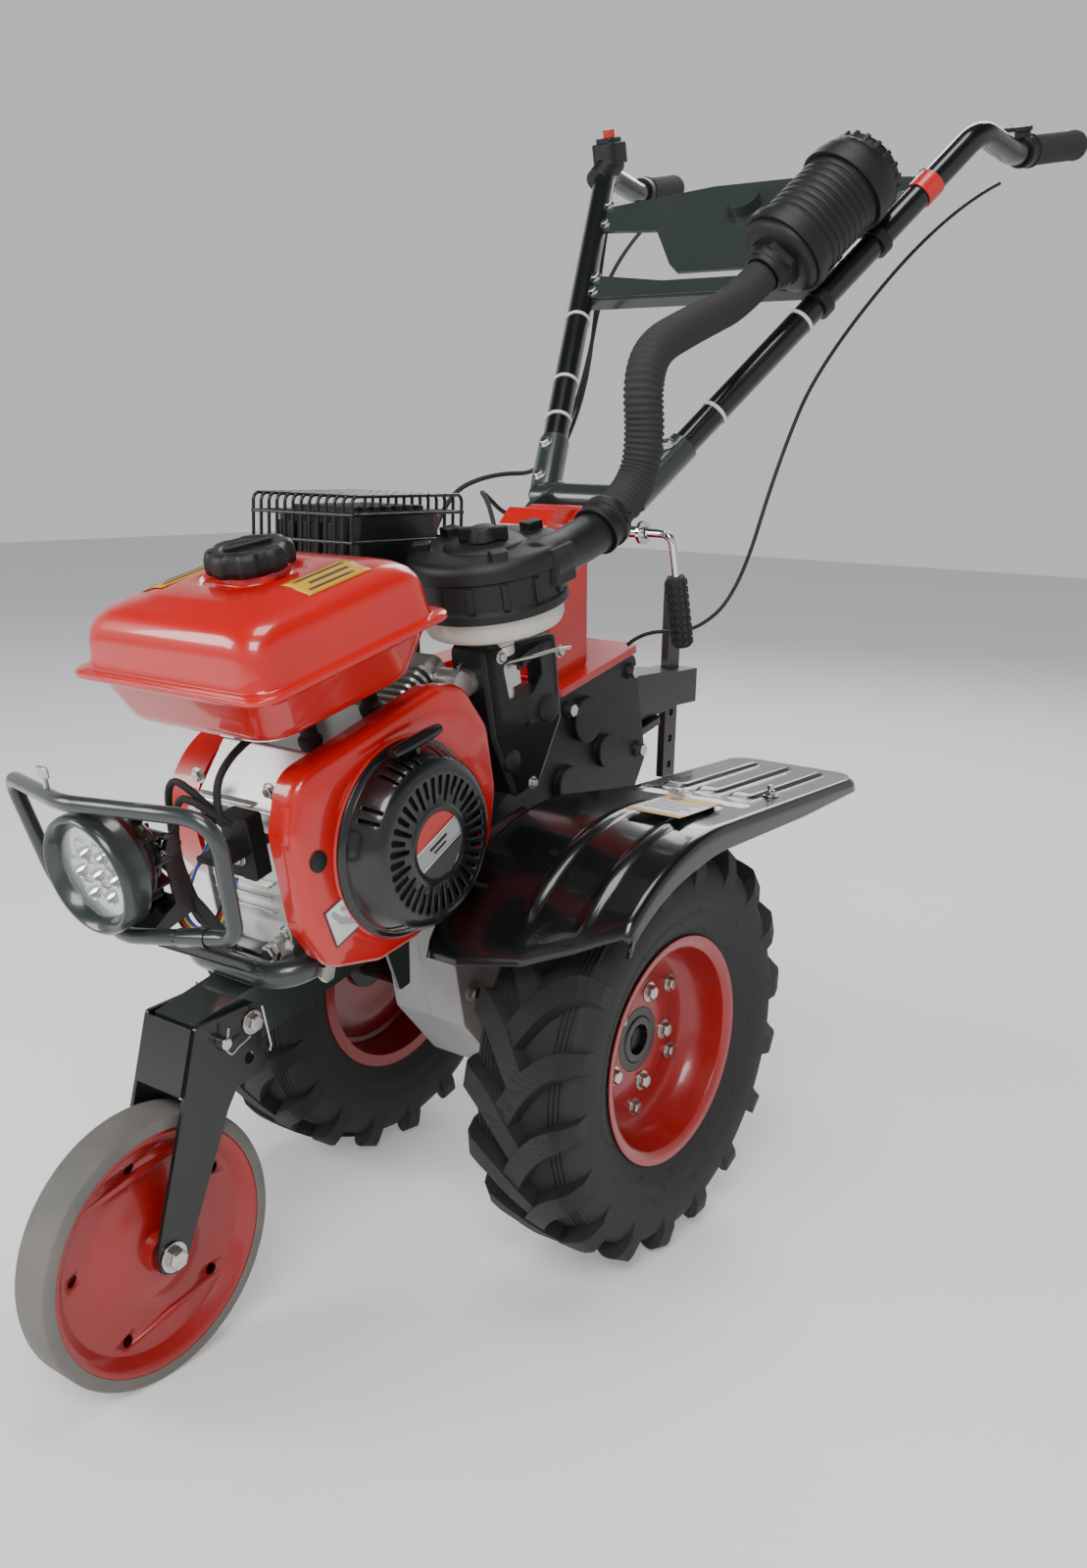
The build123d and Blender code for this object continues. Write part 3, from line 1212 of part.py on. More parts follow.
with BuildPart() as precleaner_cradle:
    for distance in (388, 486):
        a = along_tube(distance - 6)
        b = along_tube(distance + 6)
        add(bar_between(tuple(a), tuple(b), tube_r + 4))
        ca = canister_at(distance - 6)
        cb = canister_at(distance + 6)
        add(bar_between(tuple(ca), tuple(cb), canister_r + 4))
        mid_a = (a + ca) * 0.5
        mid_b = (b + cb) * 0.5
        add(bar_between(tuple(mid_a), tuple(mid_b), 16))
        far_a = canister_at(distance - 8)
        far_b = canister_at(distance + 8)
        add(bar_between(tuple(far_a), tuple(far_b), canister_r + 0.2), mode=Mode.SUBTRACT)
        tube_a = along_tube(distance - 8)
        tube_b = along_tube(distance + 8)
        add(bar_between(tuple(tube_a), tuple(tube_b), tube_r + 0.2), mode=Mode.SUBTRACT)
finish(precleaner_cradle.part, "precleaner_cradle")

hose_r = 18.0
hose_end = canister_at(349.4)
hose_lead = canister_at(306)
hose_route = [
    (snorkel_x, snorkel_end - 16, snorkel_z - 9),
    (snorkel_x + 1, 128, 509),
    (150, 157, 548),
    (150, 163, 598),
    (142, 222, 634),
    (124, 330, 636),
    (hose_lead.X, hose_lead.Y, hose_lead.Z),
    (hose_end.X, hose_end.Y, hose_end.Z),
]
hose_radii = []
for i in range(1, len(hose_route) - 1):
    before = Vector(*hose_route[i]) - Vector(*hose_route[i - 1])
    after = Vector(*hose_route[i + 1]) - Vector(*hose_route[i])
    turn = math.radians(before.get_angle(after))
    hose_radii.append(0.45 * min(before.length, after.length) / math.tan(turn / 2))
with BuildPart() as intake_hose:
    add(tube_path(hose_route, hose_radii, hose_r))
    start = Vector(*hose_route[0])
    lead = (Vector(*hose_route[1]) - start).normalized()
    add(bar_between(tuple(start + lead * 2), tuple(start + lead * 30), snorkel_r + 4))
    add(bar_between((snorkel_x, cleaner_y, snorkel_z - 14), (snorkel_x, snorkel_end + 0.5, snorkel_z - 8), snorkel_r + 0.3), mode=Mode.SUBTRACT)
finish(intake_hose.part, "intake_hose")

# ---- Control cables ---------------------------------------------------------------------------------------
cable_routes = [
    [(lever_axis.X - 20, 812, 706), (222, 690, 690), (150, 520, 560), (140, 430, 470), (120, 360, 340), (96, 300, 312), (60, 262, 326), (44, 250, 311)],
    [(-lever_axis.X + 14, 800, 690), (-205, 640, 655), (-132, 470, 548), (-112, 350, 470), (-100, 230, 500), (-84, 130, 500), (-84, 62, 400), (-87, 60, 342)],
    [(-234, 700, 706), (-196, 610, 640), (-120, 450, 530), (-118, 340, 450), (-92, 250, 440), (-52, 150, 508), (-4, 110, 500), (40, 60, 432), (72, 22, 396), (72, -1.7, 392)],
]
cables = []
for route in cable_routes:
    radii = []
    for i in range(1, len(route) - 1):
        before = Vector(*route[i]) - Vector(*route[i - 1])
        after = Vector(*route[i + 1]) - Vector(*route[i])
        turn = math.radians(before.get_angle(after))
        radii.append(min(0.45 * min(before.length, after.length) / math.tan(turn / 2), 400))
    cables.append(tube_path(route, radii, 2.5))
finish(Compound(cables), "control_cables")

# ---- Fasteners ------------------------------------------------------------------------------------------------
fasteners = []
for side in (1, -1):
    for boss_y, boss_z in case_bolt_places:
        fasteners.append(hex_bolt_x(side * (case_half + 3.1), boss_y, boss_z, side, 0.1, 4))
    fasteners.append(hex_bolt_x(side * (rail_x + rail_r + 0.2), -286, rail_z - 5, side, 0.1, 5))
for pin_y, pin_z in fork_pins:
    fasteners.append(bar_x(-fork_x - fork_t - 8, fork_x + fork_t + 8, pin_y, pin_z, bolt_r))
axle_bolt = bar_x(-fork_x - fork_t, fork_x + fork_t, nose_y, nose_z, nose_bolt_r) + hex_bolt_x(fork_x + fork_t + 0.1, nose_y, nose_z, 1, 2, nose_bolt_r)
axle_bolt = axle_bolt + hex_bolt_x(-fork_x - fork_t - 0.1, nose_y, nose_z, -1, 2, nose_bolt_r)
fasteners.append(axle_bolt)
for foot_x, foot_y in ((35, -287), (35, -137), (-35, -287), (-35, -137)):
    fasteners.append(bar_z(foot_x, foot_y, beam_top - 8, foot_z - 0.1, 4))
finish(Compound(fasteners), "body_bolts")
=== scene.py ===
"""Looks of the walk-behind tiller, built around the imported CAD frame."""

from __future__ import annotations

import json
import logging
import math
from dataclasses import dataclass, field
from enum import Enum
from typing import Callable, Iterable, Sequence

import bmesh
import bpy
from mathutils import Matrix, Vector
from mathutils.geometry import tessellate_polygon

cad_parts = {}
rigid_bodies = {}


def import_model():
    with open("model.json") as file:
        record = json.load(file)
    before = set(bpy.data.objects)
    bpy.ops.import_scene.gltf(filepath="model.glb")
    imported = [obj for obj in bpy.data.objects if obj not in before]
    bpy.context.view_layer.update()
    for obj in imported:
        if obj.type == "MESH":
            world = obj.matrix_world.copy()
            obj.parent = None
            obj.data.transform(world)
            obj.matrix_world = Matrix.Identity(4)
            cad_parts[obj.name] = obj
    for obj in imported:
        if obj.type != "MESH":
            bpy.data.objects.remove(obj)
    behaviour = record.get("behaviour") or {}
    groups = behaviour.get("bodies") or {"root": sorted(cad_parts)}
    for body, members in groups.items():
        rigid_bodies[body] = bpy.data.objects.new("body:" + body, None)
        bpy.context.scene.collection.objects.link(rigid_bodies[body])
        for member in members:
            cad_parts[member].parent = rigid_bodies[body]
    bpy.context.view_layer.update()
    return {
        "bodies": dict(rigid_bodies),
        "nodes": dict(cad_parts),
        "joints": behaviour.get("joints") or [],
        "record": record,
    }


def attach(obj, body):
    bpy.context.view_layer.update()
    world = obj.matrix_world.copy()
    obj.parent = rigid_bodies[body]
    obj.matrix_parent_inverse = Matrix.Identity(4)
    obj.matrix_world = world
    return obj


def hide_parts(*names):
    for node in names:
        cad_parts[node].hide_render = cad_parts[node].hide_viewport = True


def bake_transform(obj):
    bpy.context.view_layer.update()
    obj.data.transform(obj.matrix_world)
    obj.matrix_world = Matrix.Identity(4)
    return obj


log = logging.getLogger("tiller")
Point = tuple[float, float, float]
Flat = tuple[float, float]
TAU = 2 * math.pi


# ------------------------------------------------------------------------------------------ stance
@dataclass(frozen=True)
class Stance:
    """How the level machine frame (millimetres, axle at zero) stands in the world."""

    tilt: float = math.radians(13.8)
    axle_y: float = -0.0872
    wheel_r: float = 0.207

    def matrix(self) -> Matrix:
        """The change from machine millimetres to world metres."""
        move = Matrix.Translation((0, self.axle_y, self.wheel_r))
        return move @ Matrix.Rotation(self.tilt, 4, "X") @ Matrix.Scale(0.001, 4)


STANCE = Stance()


def lerp(a: float, b: float, t: float) -> float:
    """The value a share t of the way from a to b."""
    return a + (b - a) * t


def table(stops: Sequence[Flat], x: float) -> float:
    """Reads a piecewise straight line.

    Args:
        stops: Pairs of place and value, places rising.
        x: The place to read.

    Returns:
        The value there, held flat beyond both ends.
    """
    if x <= stops[0][0]:
        return stops[0][1]
    for (x0, y0), (x1, y1) in zip(stops, stops[1:]):
        if x <= x1:
            return lerp(y0, y1, (x - x0) / (x1 - x0))
    return stops[-1][1]


def smooth(t: float) -> float:
    """A soft step from 0 to 1."""
    t = min(max(t, 0.0), 1.0)
    return t * t * (3 - 2 * t)


def tube_point(distance: float, side: int = 1, lift: float = 0.0, out: float = 0.0) -> Point:
    """A place beside a handlebar tube.

    Args:
        distance: Length along the tube from its foot.
        side: 1 for the starter side, -1 for the belt side.
        lift: Offset square to the tube, upwards.
        out: Offset square to the tube, outwards.

    Returns:
        The point in the machine frame.
    """
    foot = Vector((29.7, 200.0, 423.7))
    run = (Vector((256.7, 750.0, 782.5)) - foot).normalized()
    up = Vector((1, 0, 0)).cross(run).normalized()
    across = run.cross(up)
    p = foot + run * distance + up * lift + across * out
    return (p.x * side, p.y, p.z)


def rounded(points: Sequence[Flat], radius: float | Sequence[float], steps: int = 5) -> list[Flat]:
    """Rounds the corners of a closed outline.

    Args:
        points: The corners.
        radius: One corner radius, or one for each corner.
        steps: Points made along each corner.

    Returns:
        The rounded outline.
    """
    count = len(points)
    radii = [radius] * count if isinstance(radius, (int, float)) else list(radius)
    out: list[Flat] = []
    for i, corner in enumerate(points):
        here = Vector(corner)
        to_last = Vector(points[i - 1]) - here
        to_next = Vector(points[(i + 1) % count]) - here
        angle = to_last.angle(to_next)
        reach = radii[i] / math.tan(max(angle, 0.05) / 2)
        reach = min(reach, to_last.length * 0.49, to_next.length * 0.49)
        if reach < 1e-6 or angle > 3.1:
            out.append((here.x, here.y))
            continue
        start = here + to_last.normalized() * reach
        end = here + to_next.normalized() * reach
        for k in range(steps + 1):
            t = k / steps
            p = start * (1 - t) ** 2 + here * (2 * t * (1 - t)) + end * t ** 2
            out.append((p.x, p.y))
    return out


def spaced(outline: Sequence[Flat], count: int) -> list[Flat]:
    """Respaces a closed outline at an even pitch."""
    loop = [Vector(p) for p in outline] + [Vector(outline[0])]
    lengths = [(b - a).length for a, b in zip(loop, loop[1:])]
    total = sum(lengths)
    out: list[Flat] = []
    i, gone = 0, 0.0
    for k in range(count):
        want = total * k / count
        while gone + lengths[i] < want:
            gone += lengths[i]
            i += 1
        p = loop[i].lerp(loop[i + 1], (want - gone) / max(lengths[i], 1e-9))
        out.append((p.x, p.y))
    return out


def box_outline(width: float, height: float, radius: float, steps: int = 5) -> list[Flat]:
    """A rounded rectangle about the origin."""
    w, h = width / 2, height / 2
    return rounded([(-w, -h), (w, -h), (w, h), (-w, h)], radius, steps)


def ring_outline(radius: float, count: int = 24, cx: float = 0.0, cy: float = 0.0) -> list[Flat]:
    """A circle as an outline."""
    return [(cx + radius * math.cos(TAU * i / count), cy + radius * math.sin(TAU * i / count)) for i in range(count)]


def bend_run(points: Sequence[Point], radii: Sequence[float], steps: int = 8) -> list[Vector]:
    """Rounds the inner corners of a rod's path.

    Args:
        points: The corners of the rod, ends included.
        radii: One bend radius for each inner corner.
        steps: Points made along each bend.

    Returns:
        The path's points.
    """
    out = [Vector(points[0])]
    for i in range(1, len(points) - 1):
        here = Vector(points[i])
        back = Vector(points[i - 1]) - here
        ahead = Vector(points[i + 1]) - here
        angle = back.angle(ahead)
        reach = min(radii[i - 1] / math.tan(angle / 2), back.length * 0.49, ahead.length * 0.49)
        start = here + back.normalized() * reach
        end = here + ahead.normalized() * reach
        for k in range(steps + 1):
            t = k / steps
            out.append(start * (1 - t) ** 2 + here * (2 * t * (1 - t)) + end * t ** 2)
    out.append(Vector(points[-1]))
    return out


def flow(points: Sequence[Point], resolution: int = 12) -> list[Vector]:
    """Reads points along the smooth spline that a flexible piece follows.

    Args:
        points: The control points of the route.
        resolution: Points read for each control point.

    Returns:
        Points along the spline.
    """
    curve = bpy.data.curves.new("flow", "CURVE")
    curve.dimensions = "3D"
    spline = curve.splines.new("NURBS")
    spline.points.add(len(points) - 1)
    for knot, place in zip(spline.points, points):
        knot.co = (*place, 1.0)
    spline.order_u = 3
    spline.use_endpoint_u = True
    curve.resolution_u = resolution
    holder = bpy.data.objects.new("flow", curve)
    mesh = bpy.data.meshes.new_from_object(holder)
    line = [v.co.copy() for v in mesh.vertices]
    bpy.data.objects.remove(holder)
    bpy.data.meshes.remove(mesh)
    bpy.data.curves.remove(curve)
    return line


def even(path: Sequence[Vector], pitch: float) -> list[Vector]:
    """Respaces a path's points at about an even pitch.

    Args:
        path: Points along the path.
        pitch: Wanted distance between neighbours.

    Returns:
        The new points, with both ends kept.
    """
    total = sum((b - a).length for a, b in zip(path, path[1:]))
    count = max(2, round(total / pitch))
    out = [path[0].copy()]
    step = total / count
    need = step
    for a, b in zip(path, path[1:]):
        length = (b - a).length
        gone = 0.0
        while length - gone >= need and len(out) < count:
            gone += need
            out.append(a.lerp(b, gone / length))
            need = step
        need -= length - gone
    out.append(path[-1].copy())
    return out


# ------------------------------------------------------------------------------------------- forms
@dataclass(frozen=True)
class Seat:
    """A place and two directions that a flat shape is drawn on."""

    origin: Point
    u: Point = (1, 0, 0)
    v: Point = (0, 1, 0)

    def axes(self) -> tuple[Vector, Vector, Vector, Vector]:
        """Origin, both directions and their normal, squared up."""
        u = Vector(self.u).normalized()
        w = u.cross(Vector(self.v)).normalized()
        return Vector(self.origin), u, w.cross(u), w

    def at(self, a: float, b: float, c: float = 0.0) -> Vector:
        """The point a along u, b along v and c along the normal."""
        o, u, v, w = self.axes()
        return o + u * a + v * b + w * c


def side_seat(x: float) -> Seat:
    """A seat that looks along +X, drawn in Y and Z."""
    return Seat((x, 0, 0), (0, 1, 0), (0, 0, 1))


class Form:
    """Collects the vertices and faces of one piece in the machine frame."""

    def __init__(self) -> None:
        """Starts empty, painting with the first finish."""
        self.verts: list[Vector] = []
        self.faces: list[tuple[int, ...]] = []
        self.tints: list[int] = []
        self.tint = 0

    def put(self, verts: Iterable[Vector], faces: Iterable[Sequence[int]]) -> None:
        """Adds a patch of mesh."""
        base = len(self.verts)
        self.verts.extend(Vector(v) for v in verts)
        for face in faces:
            self.faces.append(tuple(base + i for i in face))
            self.tints.append(self.tint)

    def skin(
        self, rows: Sequence[Sequence[Vector]], around: bool = False,
        skip: Callable[[int, int], bool] | None = None
    ) -> None:
        """Joins rows of points into a sheet.

        Args:
            rows: Rows with the same number of points.
            around: Whether each row closes on itself.
            skip: Says which cells (row, place) stay open.
        """
        count = len(rows[0])
        faces = []
        for i in range(len(rows) - 1):
            for j in range(count if around else count - 1):
                if skip and skip(i, j):
                    continue
                k = (j + 1) % count
                faces.append((i * count + j, i * count + k, (i + 1) * count + k, (i + 1) * count + j))
        self.put([p for row in rows for p in row], faces)

    def lathe(
        self, profile: Sequence[Flat], origin: Point, axis: Point, segments: int = 64,
        skip: Callable[[int, int], bool] | None = None
    ) -> None:
        """Turns a profile about an axis.

        Args:
            profile: Pairs of distance along the axis and radius.
            origin: A point on the axis.
            axis: The axis direction.
            segments: Steps round the axis.
            skip: Says which cells (row, step) stay open.
        """
        w = Vector(axis).normalized()
        hint = Vector((0, 0, 1)) if abs(w.z) < 0.9 else Vector((0, 1, 0))
        v = (hint - w * hint.dot(w)).normalized()
        u = v.cross(w)
        o = Vector(origin)
        rows = []
        for along, r in profile:
            rows.append([o + w * along + (u * math.cos(TAU * j / segments) + v * math.sin(TAU * j / segments)) * max(r, 1e-4) for j in range(segments)])
        self.skin(rows, True, skip)

    def rod(
        self, path: Sequence[Vector | Point], radius: float | Callable[[float], float], segments: int = 16,
        caps: bool = True
    ) -> None:
        """Runs a round section along a path.

        Args:
            path: Points along the rod.
            radius: The radius, or a function of the share of the points passed.
            segments: Steps round the rod.
            caps: Whether the ends are closed.
        """
        pts = [Vector(p) for p in path]
        count = len(pts)
        tangent = (pts[1] - pts[0]).normalized()
        hint = Vector((0, 0, 1)) if abs(tangent.z) < 0.9 else Vector((1, 0, 0))
        u = tangent.cross(hint).normalized()
        rows = []
        for i, p in enumerate(pts):
            ahead = pts[min(i + 1, count - 1)] - pts[max(i - 1, 0)]
            turn = tangent.rotation_difference(ahead.normalized())
            u = turn @ u
            tangent = ahead.normalized()
            v = tangent.cross(u)
            r = radius(i / (count - 1)) if callable(radius) else radius
            rows.append([p + (u * math.cos(TAU * j / segments) + v * math.sin(TAU * j / segments)) * r for j in range(segments)])
        self.skin(rows, True)
        if caps:
            self.put(rows[0], [tuple(reversed(range(segments)))])
            self.put(rows[-1], [tuple(range(segments))])

    def prism(self, outline: Sequence[Flat], depth: float, seat: Seat, holes: Sequence[Sequence[Flat]] = ()) -> None:
        """Raises a flat outline, with holes, into a plate.

        Args:
            outline: The outer edge.
            depth: The thickness along the seat's normal.
            seat: Where it is drawn.
            holes: Inner edges.
        """
        loops = [list(outline), *[list(h) for h in holes]]
        flat = [p for loop in loops for p in loop]
        tris = tessellate_polygon([[Vector((a, b, 0)) for a, b in loop] for loop in loops])
        count = len(flat)
        verts = [seat.at(a, b) for a, b in flat] + [seat.at(a, b, depth) for a, b in flat]
        if holes:
            faces = [tuple(t) for t in tris] + [tuple(i + count for i in reversed(t)) for t in tris]
        else:
            faces = [tuple(range(count)), tuple(reversed(range(count, 2 * count)))]
        base = 0
        for loop in loops:
            n = len(loop)
            for i in range(n):
                j = (i + 1) % n
                faces.append((base + i, base + j, base + j + count, base + i + count))
            base += n
        self.put(verts, faces)

    def block(
        self, centre: Point, size: Point, radius: float = 0.0, u: Point = (1, 0, 0), v: Point = (0, 1, 0)
    ) -> None:
        """A block about a centre, with rounded upright edges where a radius is given."""
        seat = Seat(centre, u, v)
        o = seat.at(0, 0, -size[2] / 2)
        outline = box_outline(size[0], size[1], radius) if radius else [
            (-size[0] / 2, -size[1] / 2), (size[0] / 2, -size[1] / 2), (size[0] / 2, size[1] / 2),
            (-size[0] / 2, size[1] / 2)
        ]
        self.prism(outline, size[2], Seat(tuple(o), u, v))

    def bolt(self, at: Point, axis: Point, size: float = 8.0, washer: bool = True) -> None:
        """A hexagon bolt head with a chamfered top, on a washer where one is wanted."""
        w = Vector(axis).normalized()
        if washer:
            self.lathe([(0, 0), (0, size * 1.25), (size * 0.18, size * 1.25), (size * 0.2, 0)], at, axis, 32)
        lifted = Vector(at) + w * size * 0.2
        self.lathe(
            [(0, size * 0.9), (size * 0.55, size * 0.9), (size * 0.72, size * 0.74), (size * 0.74, 0)],
            tuple(lifted), axis, 6
        )


# ------------------------------------------------------------------------------------ shader maths
class Wire:
    """A shader socket that can be used in an expression."""

    def __init__(self, nodes: "Shader", socket: bpy.types.NodeSocket) -> None:
        """Wraps a socket of a shader under construction."""
        self.nodes = nodes
        self.socket = socket

    def _math(self, operation: str, *values: object, clamp: bool = False) -> "Wire":
        """Adds one Math node on this tree."""
        return self.nodes.node("Math", {"operation": operation, "use_clamp": clamp}, dict(enumerate(values)))

    def __add__(self, other: object) -> "Wire":
        """Sum."""
        return self._math("ADD", self, other)

    def __radd__(self, other: object) -> "Wire":
        """Sum, the other way round."""
        return self._math("ADD", other, self)

    def __sub__(self, other: object) -> "Wire":
        """Difference."""
        return self._math("SUBTRACT", self, other)

    def __rsub__(self, other: object) -> "Wire":
        """Difference, the other way round."""
        return self._math("SUBTRACT", other, self)

    def __mul__(self, other: object) -> "Wire":
        """Product."""
        return self._math("MULTIPLY", self, other)

    def __rmul__(self, other: object) -> "Wire":
        """Product, the other way round."""
        return self._math("MULTIPLY", other, self)

    def __abs__(self) -> "Wire":
        """Size without sign."""
        return self._math("ABSOLUTE", self)

    def wave(self, rate: float) -> "Wire":
        """The sine of this times a rate."""
        return (self * rate)._math("SINE", self * rate)

    def clamp(self) -> "Wire":
        """Kept between 0 and 1."""
        return self._math("ADD", self, 0.0, clamp=True)


class Shader:
    """Builds one material's node tree."""

    def __init__(self, name: str) -> None:
        """Makes an empty material with an output."""
        self.material = bpy.data.materials.new(name)
        self.material.use_nodes = True
        self.tree = self.material.node_tree
        self.tree.nodes.clear()
        self.output = self.tree.nodes.new("ShaderNodeOutputMaterial")

    def node(
        self, kind: str, settings: dict[str, object] | None = None, inputs: dict[object, object] | None = None,
        out: object = 0
    ) -> Wire:
        """Adds a node.

        Args:
            kind: The node type without its ShaderNode prefix.
            settings: Node settings, set before the sockets. "stops" fills a ramp.
            inputs: Values or wires by socket name or number.
            out: The output to hand back.

        Returns:
            The chosen output.
        """
        made = self.tree.nodes.new("ShaderNode" + kind)
        for key, value in (settings or {}).items():
            if key == "stops":
                ramp = made.color_ramp
                while len(ramp.elements) < len(value):
                    ramp.elements.new(0.5)
                for element, (place, shade) in zip(ramp.elements, value):
                    element.position = place
                    element.color = (*shade, 1.0) if isinstance(shade, tuple) else (shade, shade, shade, 1.0)
            else:
                setattr(made, key, value)
        for key, value in (inputs or {}).items():
            socket = made.inputs[key]
            if isinstance(value, Wire):
                self.tree.links.new(value.socket, socket)
            elif isinstance(value, tuple) and len(value) == 3 and socket.type == "RGBA":
                socket.default_value = (*value, 1.0)
            else:
                socket.default_value = value
        return Wire(self, made.outputs[out])

    def place(self) -> Wire:
        """Object coordinates, which are world metres at rest."""
        return self.node("TexCoord", out="Object")

    def axis(self, name: str) -> Wire:
        """One coordinate of the object's own space."""
        return self.node("SeparateXYZ", None, {0: self.place()}, name)

    def noise(self, scale: float, detail: float = 4.0, rough: float = 0.5) -> Wire:
        """Cloudy noise between 0 and 1."""
        return self.node(
            "TexNoise", None, {"Vector": self.place(), "Scale": scale, "Detail": detail, "Roughness": rough},
            "Fac" if "Fac" in self._names("TexNoise") else 0
        )

    def _names(self, kind: str) -> list[str]:
        """Output names of a node type."""
        probe = self.tree.nodes.new("ShaderNode" + kind)
        names = [o.name for o in probe.outputs]
        self.tree.nodes.remove(probe)
        return names

    def mix(self, factor: Wire | float, a: object, b: object) -> Wire:
        """Blends two colours."""
        return self.node("Mix", {"data_type": "RGBA"}, {0: factor, 6: a, 7: b}, 2)

    def bump(self, height: Wire, distance: float, strength: float = 1.0, normal: Wire | None = None) -> Wire:
        """Turns a height into a normal."""
        inputs = {"Height": height, "Distance": distance, "Strength": strength}
        if normal:
            inputs["Normal"] = normal
        return self.node("Bump", None, inputs)

    def surface(self, sockets: dict[str, object]) -> bpy.types.Material:
        """Ends the material with a Principled surface.

        Args:
            sockets: Principled sockets by name.

        Returns:
            The finished material.
        """
        wire = self.node("BsdfPrincipled", None, sockets)
        self.tree.links.new(wire.socket, self.output.inputs["Surface"])
        return self.material


@dataclass(frozen=True)
class Finish:
    """A painted, moulded, cast or plated surface."""

    name: str
    colour: tuple[float, float, float]
    second: tuple[float, float, float] | None = None
    roughness: float = 0.4
    spread: float = 0.08
    metallic: float = 0.0
    coat: float = 0.0
    coat_rough: float = 0.06
    grain: float = 0.0
    grain_scale: float = 900.0
    ripple: float = 0.0
    ripple_scale: float = 60.0
    dust: float = 0.0
    soft_edge: float = 0.0008
    transmission: float = 0.0
    alpha: float = 1.0
    specular: float = 0.5
    sheen: float = 0.0
    glow: float = 0.0
    weave: float = 0.0

    def build(self) -> bpy.types.Material:
        """Builds the node tree.

        Returns:
            The material.
        """
        s = Shader(self.name)
        cloud = s.noise(14.0, 5.0, 0.55)
        fine = s.noise(self.grain_scale, 3.0, 0.6)
        second = self.second or tuple(min(1.0, c * 1.25 + 0.002) for c in self.colour)
        colour = s.mix((cloud * 1.6 - 0.3).clamp(), self.colour, second)
        if self.dust:
            height = s.axis("Z")
            dusty = (s.noise(38.0, 6.0, 0.7) * 1.7 - 0.55).clamp() * self.dust + (0.16 - height).clamp() * self.dust
            colour = s.mix(dusty.clamp(), colour, (0.23, 0.20, 0.165))
        rough = (self.roughness + (s.noise(26.0, 6.0, 0.65) - 0.5) * (2 * self.spread)).clamp()
        height = fine * self.grain
        if self.weave:
            x, y, z = s.axis("X"), s.axis("Y"), s.axis("Z")
            height = height + abs((x + y + z).wave(2100.0)) * self.weave + abs((x - y + z).wave(2100.0)) * self.weave
        if self.ripple:
            height = height + s.noise(self.ripple_scale, 2.0, 0.5) * self.ripple
        soft = s.node("Bevel", {"samples": 4}, {"Radius": self.soft_edge}) if self.soft_edge else None
        normal = s.bump(height, 0.001, 1.0, soft)
        sockets: dict[str, object] = {
            "Base Color": colour,
            "Roughness": rough,
            "Metallic": self.metallic,
            "Coat Weight": self.coat,
            "Coat Roughness": self.coat_rough,
            "Normal": normal,
            "Specular IOR Level": self.specular,
            "Transmission Weight": self.transmission,
            "Alpha": self.alpha,
        }
        if self.sheen:
            sockets["Sheen Weight"] = self.sheen
        if self.glow:
            sockets["Emission Color"] = self.colour
            sockets["Emission Strength"] = self.glow
        return s.surface(sockets)


